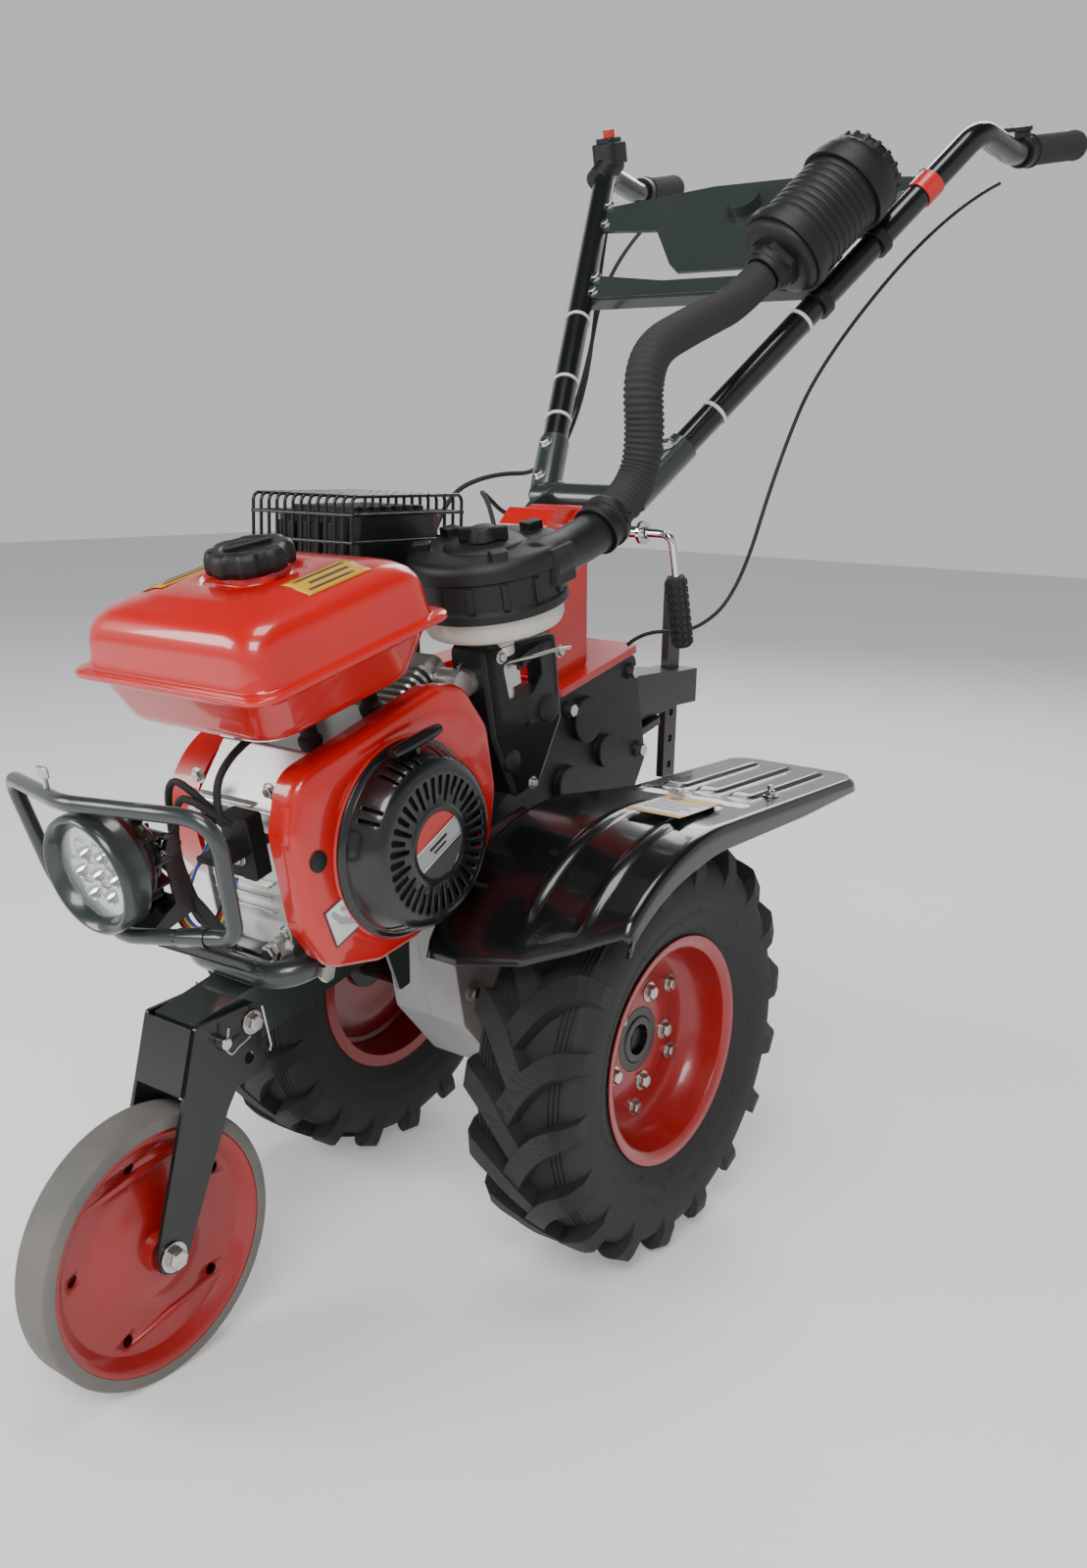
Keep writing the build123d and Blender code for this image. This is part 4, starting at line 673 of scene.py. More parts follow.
class Look(Enum):
    """The finishes of this machine."""

    RED = Finish(
        "gloss_red_paint", (0.62, 0.004, 0.002), (0.54, 0.003, 0.002), 0.30, 0.03, coat=0.8, coat_rough=0.05,
        ripple=0.06, ripple_scale=90.0
    )
    RIM_RED = Finish(
        "rim_red_paint", (0.36, 0.006, 0.006), (0.29, 0.006, 0.006), 0.34, 0.08, coat=0.5, coat_rough=0.12,
        ripple=0.10, dust=0.06
    )
    BLACK = Finish(
        "black_enamel", (0.0045, 0.005, 0.0055), (0.008, 0.009, 0.010), 0.34, 0.08, coat=0.35, coat_rough=0.12,
        ripple=0.12, dust=0.02, specular=0.4
    )
    FENDER = Finish(
        "fender_black", (0.0035, 0.0045, 0.005), (0.006, 0.0075, 0.008), 0.24, 0.07, coat=0.6, coat_rough=0.07,
        ripple=0.14, ripple_scale=45.0, specular=0.4
    )
    GREY = Finish(
        "green_grey_enamel", (0.022, 0.031, 0.030), (0.028, 0.038, 0.036), 0.30, 0.06, coat=0.6,
        coat_rough=0.10, ripple=0.10
    )
    CASE_DARK = Finish(
        "dark_cast_case", (0.008, 0.0085, 0.009), (0.013, 0.0135, 0.014), 0.46, 0.10, grain=0.4,
        grain_scale=380.0, soft_edge=0.002
    )
    ALLOY = Finish(
        "cast_alloy", (0.50, 0.50, 0.49), (0.40, 0.40, 0.39), 0.42, 0.12, metallic=0.85, grain=0.35,
        grain_scale=480.0, soft_edge=0.0015
    )
    ZINC = Finish("zinc_plate", (0.66, 0.65, 0.61), (0.52, 0.51, 0.48), 0.26, 0.12, metallic=1.0, grain=0.05)
    STEEL = Finish("machined_steel", (0.42, 0.42, 0.42), (0.32, 0.31, 0.30), 0.38, 0.12, metallic=1.0, grain=0.08)
    CHROME = Finish("bright_chrome", (0.80, 0.80, 0.81), (0.70, 0.70, 0.71), 0.10, 0.04, metallic=1.0)
    TYRE = Finish(
        "tyre_rubber", (0.0060, 0.0070, 0.0085), (0.010, 0.011, 0.0125), 0.52, 0.10, grain=0.25,
        grain_scale=700.0, dust=0.03, specular=0.4
    )
    TREAD = Finish(
        "dusty_tread", (0.10, 0.10, 0.095), (0.19, 0.18, 0.165), 0.72, 0.10, grain=0.5, grain_scale=500.0,
        dust=0.35
    )
    RUBBER = Finish(
        "soft_rubber", (0.006, 0.006, 0.0065), (0.010, 0.010, 0.0105), 0.52, 0.10, grain=0.2, specular=0.4
    )
    GLOSS = Finish(
        "gloss_black_plastic", (0.0045, 0.006, 0.006), (0.007, 0.009, 0.009), 0.24, 0.06, coat=0.4,
        coat_rough=0.08, ripple=0.06
    )
    MATT = Finish(
        "matt_black_plastic", (0.0065, 0.007, 0.0078), (0.011, 0.0115, 0.012), 0.42, 0.08, grain=0.3,
        grain_scale=1100.0, specular=0.4
    )
    MILKY = Finish("milky_bowl", (0.72, 0.69, 0.62), (0.62, 0.58, 0.50), 0.34, 0.08, transmission=0.15, coat=0.2)
    CLEAR = Finish(
        "clear_lens", (0.55, 0.60, 0.62), (0.5, 0.55, 0.57), 0.05, 0.02, alpha=0.12, coat=1.0, coat_rough=0.02
    )
    MIRROR = Finish("lamp_reflector", (0.86, 0.87, 0.88), (0.78, 0.79, 0.80), 0.12, 0.05, metallic=1.0)
    CHIP = Finish("lamp_chips", (0.95, 0.93, 0.82), (0.90, 0.86, 0.70), 0.4, 0.05, glow=0.25)
    WHITE = Finish("white_label", (0.74, 0.74, 0.73), (0.68, 0.68, 0.67), 0.38, 0.05, coat=0.3)
    YELLOW = Finish("yellow_label", (0.66, 0.36, 0.015), (0.60, 0.31, 0.012), 0.38, 0.05, coat=0.3)
    INK = Finish("label_ink", (0.04, 0.04, 0.045), (0.06, 0.06, 0.065), 0.4, 0.05)
    BADGE_RED = Finish("badge_red", (0.50, 0.03, 0.02), (0.44, 0.03, 0.02), 0.34, 0.05, coat=0.5)
    BADGE_GREY = Finish("badge_silver", (0.42, 0.43, 0.44), (0.36, 0.37, 0.38), 0.34, 0.05, metallic=0.3)
    LUG = Finish(
        "lug_rubber", (0.016, 0.0155, 0.0145), (0.034, 0.031, 0.027), 0.60, 0.08, grain=0.2, dust=0.08,
        weave=0.9
    )
    SEAM = Finish("tread_seam", (0.30, 0.17, 0.06), (0.20, 0.12, 0.05), 0.6, 0.05)
    BUTTON = Finish("red_button", (0.60, 0.02, 0.015), (0.52, 0.02, 0.015), 0.30, 0.05, coat=0.4)
    WIRE_YELLOW = Finish("yellow_wire", (0.60, 0.48, 0.10), None, 0.45, 0.05)
    WIRE_BLUE = Finish("blue_wire", (0.03, 0.10, 0.40), None, 0.45, 0.05)

    def material(self) -> bpy.types.Material:
        """The material of this finish, built once."""
        return bpy.data.materials.get(self.value.name) or self.value.build()


SLOT_LOOK = {
    "red_paint": Look.RED, "black_paint": Look.BLACK, "grey_paint": Look.GREY, "case_metal": Look.CASE_DARK, "cast_alloy": Look.ALLOY,
    "zinc": Look.ZINC, "steel": Look.STEEL, "chrome": Look.CHROME, "tyre_rubber": Look.TYRE, "grey_rubber": Look.TREAD,
    "soft_rubber": Look.RUBBER, "gloss_black": Look.GLOSS, "matt_black": Look.MATT, "clear_bowl": Look.MILKY, "lamp_clear": Look.CLEAR,
    "red_plastic": Look.BUTTON,
}


def two_tone_case() -> bpy.types.Material:
    """The gear case: pale cast metal below the frame and black above it."""
    s = Shader("two_tone_case")
    height = s.axis("Z") + (s.noise(30.0) - 0.5) * 0.002
    above = ((height - 0.352) * 400.0).clamp()
    pale = s.mix(s.noise(22.0), (0.26, 0.255, 0.25), (0.38, 0.375, 0.37))
    colour = s.mix(above, pale, (0.008, 0.0085, 0.009))
    soft = s.node("Bevel", {"samples": 4}, {"Radius": 0.003})
    normal = s.bump(s.noise(420.0, 3.0, 0.6), 0.001, 0.5, soft)
    return s.surface({"Base Color": colour, "Roughness": 0.42 + s.noise(40.0) * 0.12, "Normal": normal})


@dataclass
class Shop:
    """Turns forms into pieces that ride on the frame's bodies."""

    frame: dict
    made: list[str] = field(default_factory=list)

    def make(
        self, name: str, form: Form, body: str, slot: str, looks: Sequence[Look], replaces: Sequence[str] = (), bevel: float = 0.5,
        thick: float = 0.0, soft: int = 0, crease: float = 38.0,
    ) -> bpy.types.Object:
        """Makes one piece.

        Args:
            name: The piece's name.
            form: Its mesh in the machine frame.
            body: The body it moves with, or "" to leave it on none.
            slot: The record's material slot it stands for; not used.
            looks: Finishes, in the order of the form's tints.
            replaces: CAD nodes it stands for.
            bevel: Rounding of sharp edges in millimetres.
            thick: Wall thickness in millimetres for a sheet.
            soft: Levels of subdivision.
            crease: The angle in degrees above which an edge stays sharp.

        Returns:
            The finished object.
        """
        mesh = bpy.data.meshes.new(name)
        place = STANCE.matrix()
        mesh.from_pydata([place @ v for v in form.verts], [], form.faces)
        for look in looks:
            mesh.materials.append(look.material())
        for polygon, tint in zip(mesh.polygons, form.tints):
            polygon.material_index = min(tint, len(looks) - 1)
        work = bmesh.new()
        work.from_mesh(mesh)
        bmesh.ops.remove_doubles(work, verts=work.verts, dist=2e-6)
        bmesh.ops.dissolve_degenerate(work, edges=work.edges, dist=1e-6)
        bmesh.ops.recalc_face_normals(work, faces=work.faces)
        for face in work.faces:
            face.smooth = True
        for edge in work.edges:
            if len(edge.link_faces) == 2 and edge.calc_face_angle(0.0) > math.radians(crease):
                edge.smooth = False
        work.to_mesh(mesh)
        work.free()
        piece = bpy.data.objects.new(name, mesh)
        bpy.context.scene.collection.objects.link(piece)
        if thick:
            wall = piece.modifiers.new("wall", "SOLIDIFY")
            wall.thickness = thick / 1000
            wall.offset = 0.0
        if bevel:
            edge = piece.modifiers.new("edge", "BEVEL")
            edge.width = bevel / 1000
            edge.segments = 2
            edge.limit_method = "ANGLE"
            edge.angle_limit = math.radians(crease)
            edge.harden_normals = False
            edge.use_clamp_overlap = True
        if soft:
            fine = piece.modifiers.new("soft", "SUBSURF")
            fine.levels = soft
            fine.render_levels = soft
        if body:
            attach(piece, body)
        if replaces:
            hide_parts(*replaces)
        self.made.append(name)
        log.info("made %s on %s", name, body or "two bodies")
        return piece

    def dress_frame(self, special: dict[str, Look]) -> None:
        """Gives every CAD node a finish.

        Args:
            special: Finishes for nodes that differ from their slot's own.
        """
        slots = {row["node"]: row["material_slot"] for row in self.frame["record"]["subparts"]}
        for node, piece in self.frame["nodes"].items():
            look = special.get(node) or SLOT_LOOK[slots[node]]
            piece.data.materials.clear()
            piece.data.materials.append(two_tone_case() if node == "gear_case" else look.material())


# ------------------------------------------------------------------------------------ running gear
@dataclass
class RunningGear:
    """The lugged tyres, dished rims and hubs."""

    shop: Shop
    centre_x: float = 178.5
    width: float = 118.0
    outer_r: float = 207.0
    carcass_r: float = 190.0
    flange_r: float = 113.2
    rim_half: float = 46.0
    dish: float = 41.4
    hub_r: float = 33.7
    lugs: int = 18

    def tyre(self, side: int) -> None:
        """One tyre with two rows of curved lugs, shoulder ribs, side rings and mould hairs.

        Args:
            side: 1 for the starter side, -1 for the far side.
        """
        form = Form()
        tread = [(56.5, 173.0), (51.5, 182.4)]
        for k in range(4):
            x = 47.5 - 4.6 * k
            tread += [
                (x, 185.0 + 0.9 * k), (x - 0.8, 187.4 + 0.9 * k), (x - 2.6, 187.6 + 0.9 * k),
                (x - 3.4, 185.6 + 0.9 * k)
            ]
        tread += [(24, 190.5), (2.2, 191.4)]
        wall = [
            (43, 101), (43.6, 112), (46, 118), (47.6, 121), (51, 128), (54.9, 136), (54.4, 139), (56, 142),
            (58.4, 156), (57.6, 168)
        ]
        profile = [(-a, r) for a, r in [*wall, *tread]] + [(a, r) for a, r in reversed([*wall, *tread])]
        centre = (side * self.centre_x, 0, 0)
        form.lathe([(side * a, r) for a, r in profile], centre, (1, 0, 0), 128)
        form.tint = 2
        form.lathe(
            [(side * a, r) for a, r in ((-1.1, 191.0), (-1.0, 192.2), (1.0, 192.2), (1.1, 191.0))], centre,
            (1, 0, 0), 128
        )
        form.tint = 1
        for row in (0, 1):
            for i in range(self.lugs):
                self.lug(form, side, 1 if row == 0 else -1, TAU * (i + 0.5 * row) / self.lugs)
        form.tint = 0
        for k in range(34):
            a = TAU * k / 34 + 0.04 * math.sin(5.0 * k)
            r = 122 + 22 * ((k * 7) % 3) / 2
            x = side * (self.centre_x + table([(118, 46), (136, 54.6), (156, 58.4)], r))
            foot = Vector((x, r * math.sin(a), r * math.cos(a)))
            tip = foot + Vector((side * 3.4, 2.4 * math.cos(a * 3), -5.0))
            form.rod([foot, foot.lerp(tip, 0.5) + Vector((side * 0.8, 0, 0.6)), tip], 0.42, 5)
        self.shop.make(
            f"tyre_{'near' if side > 0 else 'far'}", form, "wheels", "tyre_rubber",
            [Look.TYRE, Look.LUG, Look.SEAM], ["tyres"], 0.8
        )

    def lug(self, form: Form, side: int, sign: int, start: float) -> None:
        """One lug that curves from the crown over the shoulder.

        Args:
            form: The tyre's form.
            side: The wheel's side.
            sign: Which half of the tread.
            start: The angle of the lug's foot at the crown.
        """
        rows = []
        stations = 11
        reach = 61.0
        for i in range(stations):
            t = i / (stations - 1)
            x = -7 + (reach + 7) * t
            sweep = 66.0 * (1 - (1 - t) ** 1.9)
            slope = 66.0 * 1.9 * (1 - t) ** 0.9 / (reach + 7)
            norm = math.hypot(1.0, slope)
            top_r = table([(-7, 205.4), (10, 207), (36, 206.4), (48, 203.6), (55, 196), (61, 180)], x)
            low_r = table([(-7, 189), (24, 188), (44, 184), (55, 172), (61, 158)], x)
            wide = lerp(12.6, 10.4, t)
            quad = []
            for offset, radius, tuck in (
                (-wide - 3.4, low_r, 1.8), (-wide, top_r, 0.0), (wide, top_r, 0.0), (wide + 3.4, low_r, 1.8)
            ):
                px = x - offset * slope / norm * (0.75 if t < 0.85 else 0.3)
                px = min(px, 59.6 - tuck)
                angle = start + (sweep + offset / norm) / self.outer_r
                quad.append(Vector((side * (self.centre_x + sign * px), radius * math.sin(angle), radius * math.cos(angle))))
            rows.append(quad)
        form.skin(rows)
        form.put(rows[0], [(0, 1, 2, 3)])
        form.put(rows[-1], [(3, 2, 1, 0)])

    def rim(self, side: int) -> None:
        """One dished rim with rolled flange, bolt web and outer bead.

        Args:
            side: 1 for the starter side, -1 for the far side.
        """
        form = Form()
        outer = self.rim_half
        web = outer - self.dish - 8
        profile = [
            (
                -outer, self.flange_r
            ), (-outer + 2, 113.6), (-outer + 2.5, 103), (-18, 100.6), (-14, 99.6), (-10, 99), (14, 99.2), (22, 100), (outer - 3, 101.6),
            (outer - 1.2, 104), (outer - 1.0, 111), (outer, 113.4), (
                outer + 1.4, 113.0
            ), (outer + 1.2, 109), (outer, 104), (outer - 3, 100.5),
            (30, 98.5), (14, 97), (web + 14, 94), (web + 8, 90), (
                web + 4.6, 84
            ), (web + 4, 66), (web + 7.5, 60), (web + 7.5, 42), (web + 7.5, 22),
            (web + 4, 22), (web + 4, 58), (web, 66), (web, 84), (web + 2, 92), (-4, 97), (-outer, 100.5), (
                -outer, self.flange_r
            ),
        ]
        form.lathe([(side * a, r) for a, r in profile], (side * self.centre_x, 0, 0), (1, 0, 0), 96)
        tag = "near" if side > 0 else "far"
        self.shop.make(f"rim_{tag}", form, "wheels", "red_paint", [Look.RIM_RED], ["wheel_rims"], 0.4)
        hub = Form()
        face = side * (self.centre_x + outer - self.dish)
        axis = (side, 0, 0)
        hub.lathe(
            [
                (-90, 20), (-9, 20), (-8, self.hub_r), (-1.2, self.hub_r), (0, self.hub_r - 1.4), (0, 24),
                (1.6, 22.5), (1.6, 15.5)
            ],
            (face, 0, 0), axis, 64
        )
        hub.lathe([(1.6, 15.5), (-10, 14.6), (-90, 14.6), (-90, 20)], (face, 0, 0), axis, 6)
        self.shop.make(f"hub_{tag}", hub, "wheels", "black_paint", [Look.BLACK], ["wheel_hubs"], 0.5)
        bolts = Form()
        for i in range(5):
            angle = math.radians(54 + 72 * i)
            bolts.bolt((face - side * 0.6, 48 * math.cos(angle), 48 * math.sin(angle)), axis, 8.2)
        for i in range(6):
            angle = math.radians(20 + 60 * i)
            bolts.bolt((face - side * 4.0, 74 * math.cos(angle), 74 * math.sin(angle)), axis, 7.4)
        self.shop.make(f"rim_bolts_{tag}", bolts, "wheels", "zinc", [Look.ZINC], ["wheel_bolts"], 0.3)

    def build(self) -> None:
        """Both wheels."""
        for side in (1, -1):
            self.tyre(side)
            self.rim(side)


@dataclass
class NoseWheel:
    """The small front transport wheel and the fittings of its fork."""

    shop: Shop
    y: float = -468.2
    z: float = 23.4
    outer_r: float = 117.9
    half: float = 19.8

    def build(self) -> None:
        """Tyre band, pressed disc and fork fittings."""
        centre = (0, self.y, self.z)
        tyre = Form()
        r, h = self.outer_r, self.half
        tyre.lathe(
            [
                (-h, r - 12), (-h, r - 4), (-h + 1.4, r - 1.2), (-h + 4, r), (h - 4, r), (h - 1.4, r - 1.2),
                (h, r - 4), (h, r - 12), (-h, r - 12)
            ],
            centre, (1, 0, 0), 96
        )
        self.shop.make("nose_tread", tyre, "nose_wheel", "grey_rubber", [Look.TREAD], ["nose_wheel_tyre"], 0.5)
        disc = Form()
        for s in (1, -1):
            rim = [(h - 1, r - 11.5), (h - 1.6, r - 15), (h - 5, r - 19), (7.0, 92)]
            hub = [(3.0, 68), (3.4, 60), (8, 44), (13, 34), (14, 18), (24, 17), (24, 6.2)]
            disc.lathe([(s * a, b) for a, b in rim], centre, (1, 0, 0), 100)
            disc.lathe([(s * a, b) for a, b in hub], centre, (1, 0, 0), 100)
            self.web(disc, s)
            for i in range(5):
                a = TAU * (i + 0.5) / 5 + 0.3
                out = (0, math.sin(a), math.cos(a))
                seat = Seat((s * 3.0, self.y + 52 * out[1], self.z + 52 * out[2]), out, (0, out[2], -out[1]))
                bump = [
                    [seat.at(18 * math.cos(TAU * k / 24) * q, 6.5 * math.sin(TAU * k / 24) * q, s * z) for k in range(24)] for q,
                    z in ((1.0, 1.0), (0.82, 5.0), (0.4, 6.4), (0.02, 6.6))
                ]
                disc.skin(bump, True)
        self.shop.make("nose_disc", disc, "nose_wheel", "red_paint", [Look.RIM_RED], ["nose_wheel_disc"], 0.0, 1.2)
        fork = Form()
        for side in (1, -1):
            x = side * 32.4
            fork.bolt((x, self.y, self.z), (side, 0, 0), 10.5)
            fork.bolt((x, -339, 175), (side, 0, 0), 8.5)
            fork.lathe([(0, 5.4), (9, 5.4), (10, 4.4), (10, 0)], (x, -375, 177), (side, 0, 0), 20)
            clip = [
                (x + side * 6, -368, 188), (x + side * 6, -375, 170), (x + side * 6, -371, 163),
                (x + side * 6, -362, 166), (x + side * 6, -348, 168)
            ]
            fork.rod(bend_run(clip, [4, 4, 4]), 1.1, 8)
            pin = [(x + side * 9, -332, 190), (x + side * 9, -331, 150), (x + side * 9, -334, 146)]
            fork.rod(bend_run(pin, [3]), 1.1, 8)
        self.shop.make("fork_fittings", fork, "chassis", "zinc", [Look.ZINC], (), 0.2)

    def web(self, form: Form, side: int) -> None:
        """The cone between rim and hub, with five round holes."""
        loops = [ring_outline(92, 100), ring_outline(68, 100)]
        for i in range(5):
            a = TAU * i / 5 + 0.35
            loops.append(ring_outline(5.2, 20, 80 * math.cos(a), 80 * math.sin(a)))
        flat = [p for loop in loops for p in loop]
        tris = tessellate_polygon([[Vector((a, b, 0)) for a, b in loop] for loop in loops])
        verts = [
            Vector((side * table([(68, 3.0), (92, 7.0)], math.hypot(a, b)), self.y + a, self.z + b)) for a,
            b in flat
        ]
        form.put(verts, tris)


# ----------------------------------------------------------------------------------------- fenders
@dataclass
class Fender:
    """A pressed mudguard with ribs, a rolled front and a turned-down outer edge."""

    shop: Shop
    side: int = 1
    radius: float = 232.0
    outer: float = 270.0
    rear: float = 335.0
    rows: int = 84
    columns: int = 64

    def surface(self, y: float) -> tuple[float, Flat]:
        """Height and outward normal of the plain sheet at a place."""
        tilt = STANCE.tilt
        knee = self.radius * math.sin(tilt)
        if y < knee:
            z = math.sqrt(max(self.radius ** 2 - y * y, 1))
            return z, (y / self.radius, z / self.radius)
        return self.radius * math.cos(tilt) - (y - knee) * math.tan(tilt), (math.sin(tilt), math.cos(tilt))

    def emboss(self, x: float, y: float) -> float:
        """How far the pressing stands proud at a place."""
        high = 0.0
        ends = smooth((y - 150) / 8) * smooth((self.rear - 22 - y) / 8)
        for rib in (150, 188, 226):
            high += 4.2 * ends * smooth((13.5 - abs(x - rib)) / 4)
        long_ends = smooth((y + 128) / 14) * smooth((118 - y) / 14)
        for rib in (168, 226):
            high += 2.4 * long_ends * smooth((7.5 - abs(x - rib)) / 5)
        panel = smooth((y - 122) / 6) * smooth((142 - y) / 6) * smooth((x - 122) / 6) * smooth((250 - x) / 6)
        return high + 1.8 * panel

    def lip(self, y: float) -> float:
        """Depth of the turned-down edge below the sheet."""
        return table([(-172, 8), (-120, 16), (0, 24), (200, 20), (335, 12)], y)

    def build(self) -> None:
        """The sheet, its bolt, its bracket stay and the label."""
        form = Form()
        rows = []
        for i in range(self.rows + 1):
            a = i / self.rows
            nominal = lerp(-168, self.rear, a)
            inner = table([(-168, 76), (60, 80), (120, 104), (150, 112), (335, 116)], nominal)
            if self.side < 0:
                inner = max(inner, 115)
            row = []
            for j in range(self.columns + 1):
                x = lerp(inner, self.outer - 7, j / self.columns)
                front = table([(112, -169), (180, -158), (225, -140), (263, -120)], x)
                corner = 26.0
                trim = 0.0
                for edge in (x - 118, self.outer - 6 - x):
                    if edge < corner:
                        trim = max(trim, corner - math.sqrt(max(corner ** 2 - (corner - edge) ** 2, 0)))
                y = lerp(front, self.rear - trim, a)
                z, n = self.surface(y)
                up = self.emboss(x, y)
                roll = 5.0 * smooth(1 - a / 0.03) + 2.5 * smooth(1 - j / 2)
                row.append(Vector((self.side * x, y + n[0] * (up - roll), z + n[1] * (up - roll))))
            last = row[-1]
            _, n = self.surface(last.y)
            low = last.z - self.lip(last.y)
            for t in (0.35, 0.7, 1.0):
                row.append(Vector((self.side * (self.outer - 7 + 6.5 * math.sin(t * 1.57)), last.y - n[0] * 6 * (1 - math.cos(t * 1.57)), last.z - 6 * (1 - math.cos(t * 1.57)))))
            for t in (0.3, 0.7, 1.0):
                row.append(Vector((self.side * (self.outer - 0.5), last.y, lerp(last.z - 6, low, t))))
            row.append(Vector((self.side * (self.outer - 4.5), last.y, low - 1.5)))
            rows.append(row)
        form.skin(rows)
        tag = "near" if self.side > 0 else "far"
        self.shop.make(
            f"fender_sheet_{tag}", form, "chassis", "black_paint", [Look.FENDER], [f"fender_{tag}"], 0.0, 1.6,
            0, 60.0
        )
        fittings = Form()
        fittings.bolt((self.side * 243, 184, 195), (0, 0.24, 0.97), 6.5)
        fittings.lathe([(0, 3), (11, 3), (11, 0)], (self.side * 243, 184, 195), (0, 0.24, 0.97), 16)
        self.shop.make(f"fender_bolt_{tag}", fittings, "chassis", "zinc", [Look.ZINC], (), 0.3)
        stay = Form()
        stay.prism([(-14, 0), (14, 0), (14, 3), (-14, 3)], 40, Seat((self.side * 72, -95, 205), (0, 1, 0), (0, 0, 1)))
        self.shop.make(f"fender_stay_{tag}", stay, "chassis", "black_paint", [Look.BLACK], (), 0.3)
        if self.side > 0:
            self.label()

    def label(self) -> None:
        """A plain white and yellow notice with bars in place of writing."""
        form = Form()
        z, n = self.surface(66)
        seat = Seat((206, 66 + n[0] * 5.5, z + n[1] * 5.5), (1, 0, 0), (0, n[1], -n[0]))
        form.prism(box_outline(58, 78, 2), 0.5, seat)
        form.tint = 1
        form.prism([(-29, 18), (29, 18), (29, 38), (-29, 38)], 0.7, seat)
        form.prism([(-29, -39), (29, -39), (29, -30), (-29, -30)], 0.7, seat)
        form.tint = 2
        for k in range(4):
            form.prism(
                [
                    (-24, 10 - k * 9), (22 - 7 * (k % 2), 10 - k * 9), (22 - 7 * (k % 2), 12.5 - k * 9),
                    (-24, 12.5 - k * 9)
                ],
                0.7, seat
            )
        form.prism(ring_outline(7, 24, -14, 28), 0.9, seat)
        self.shop.make("fender_notice", form, "chassis", "black_paint", [Look.WHITE, Look.YELLOW, Look.INK], (), 0.0)


# ------------------------------------------------------------------------------------------ engine
def circle_band(radius: float, low: float, high: float, steps: int = 24) -> list[Flat]:
    """The part of a disc between two level lines."""
    a, b = math.asin(low / radius), math.asin(high / radius)
    right = [(radius * math.cos(lerp(a, b, i / steps)), radius * math.sin(lerp(a, b, i / steps))) for i in range(steps + 1)]
    return right + [(-x, y) for x, y in reversed(right)]


def inset(outline: Sequence[Flat], distance: float) -> list[Flat]:
    """Draws an outline inwards (its corners run counter-clockwise)."""
    out = []
    count = len(outline)
    for i in range(count):
        here = Vector(outline[i])
        run = (Vector(outline[(i + 1) % count]) - Vector(outline[i - 1])).normalized()
        out.append((here.x - run.y * distance, here.y + run.x * distance))
    return out


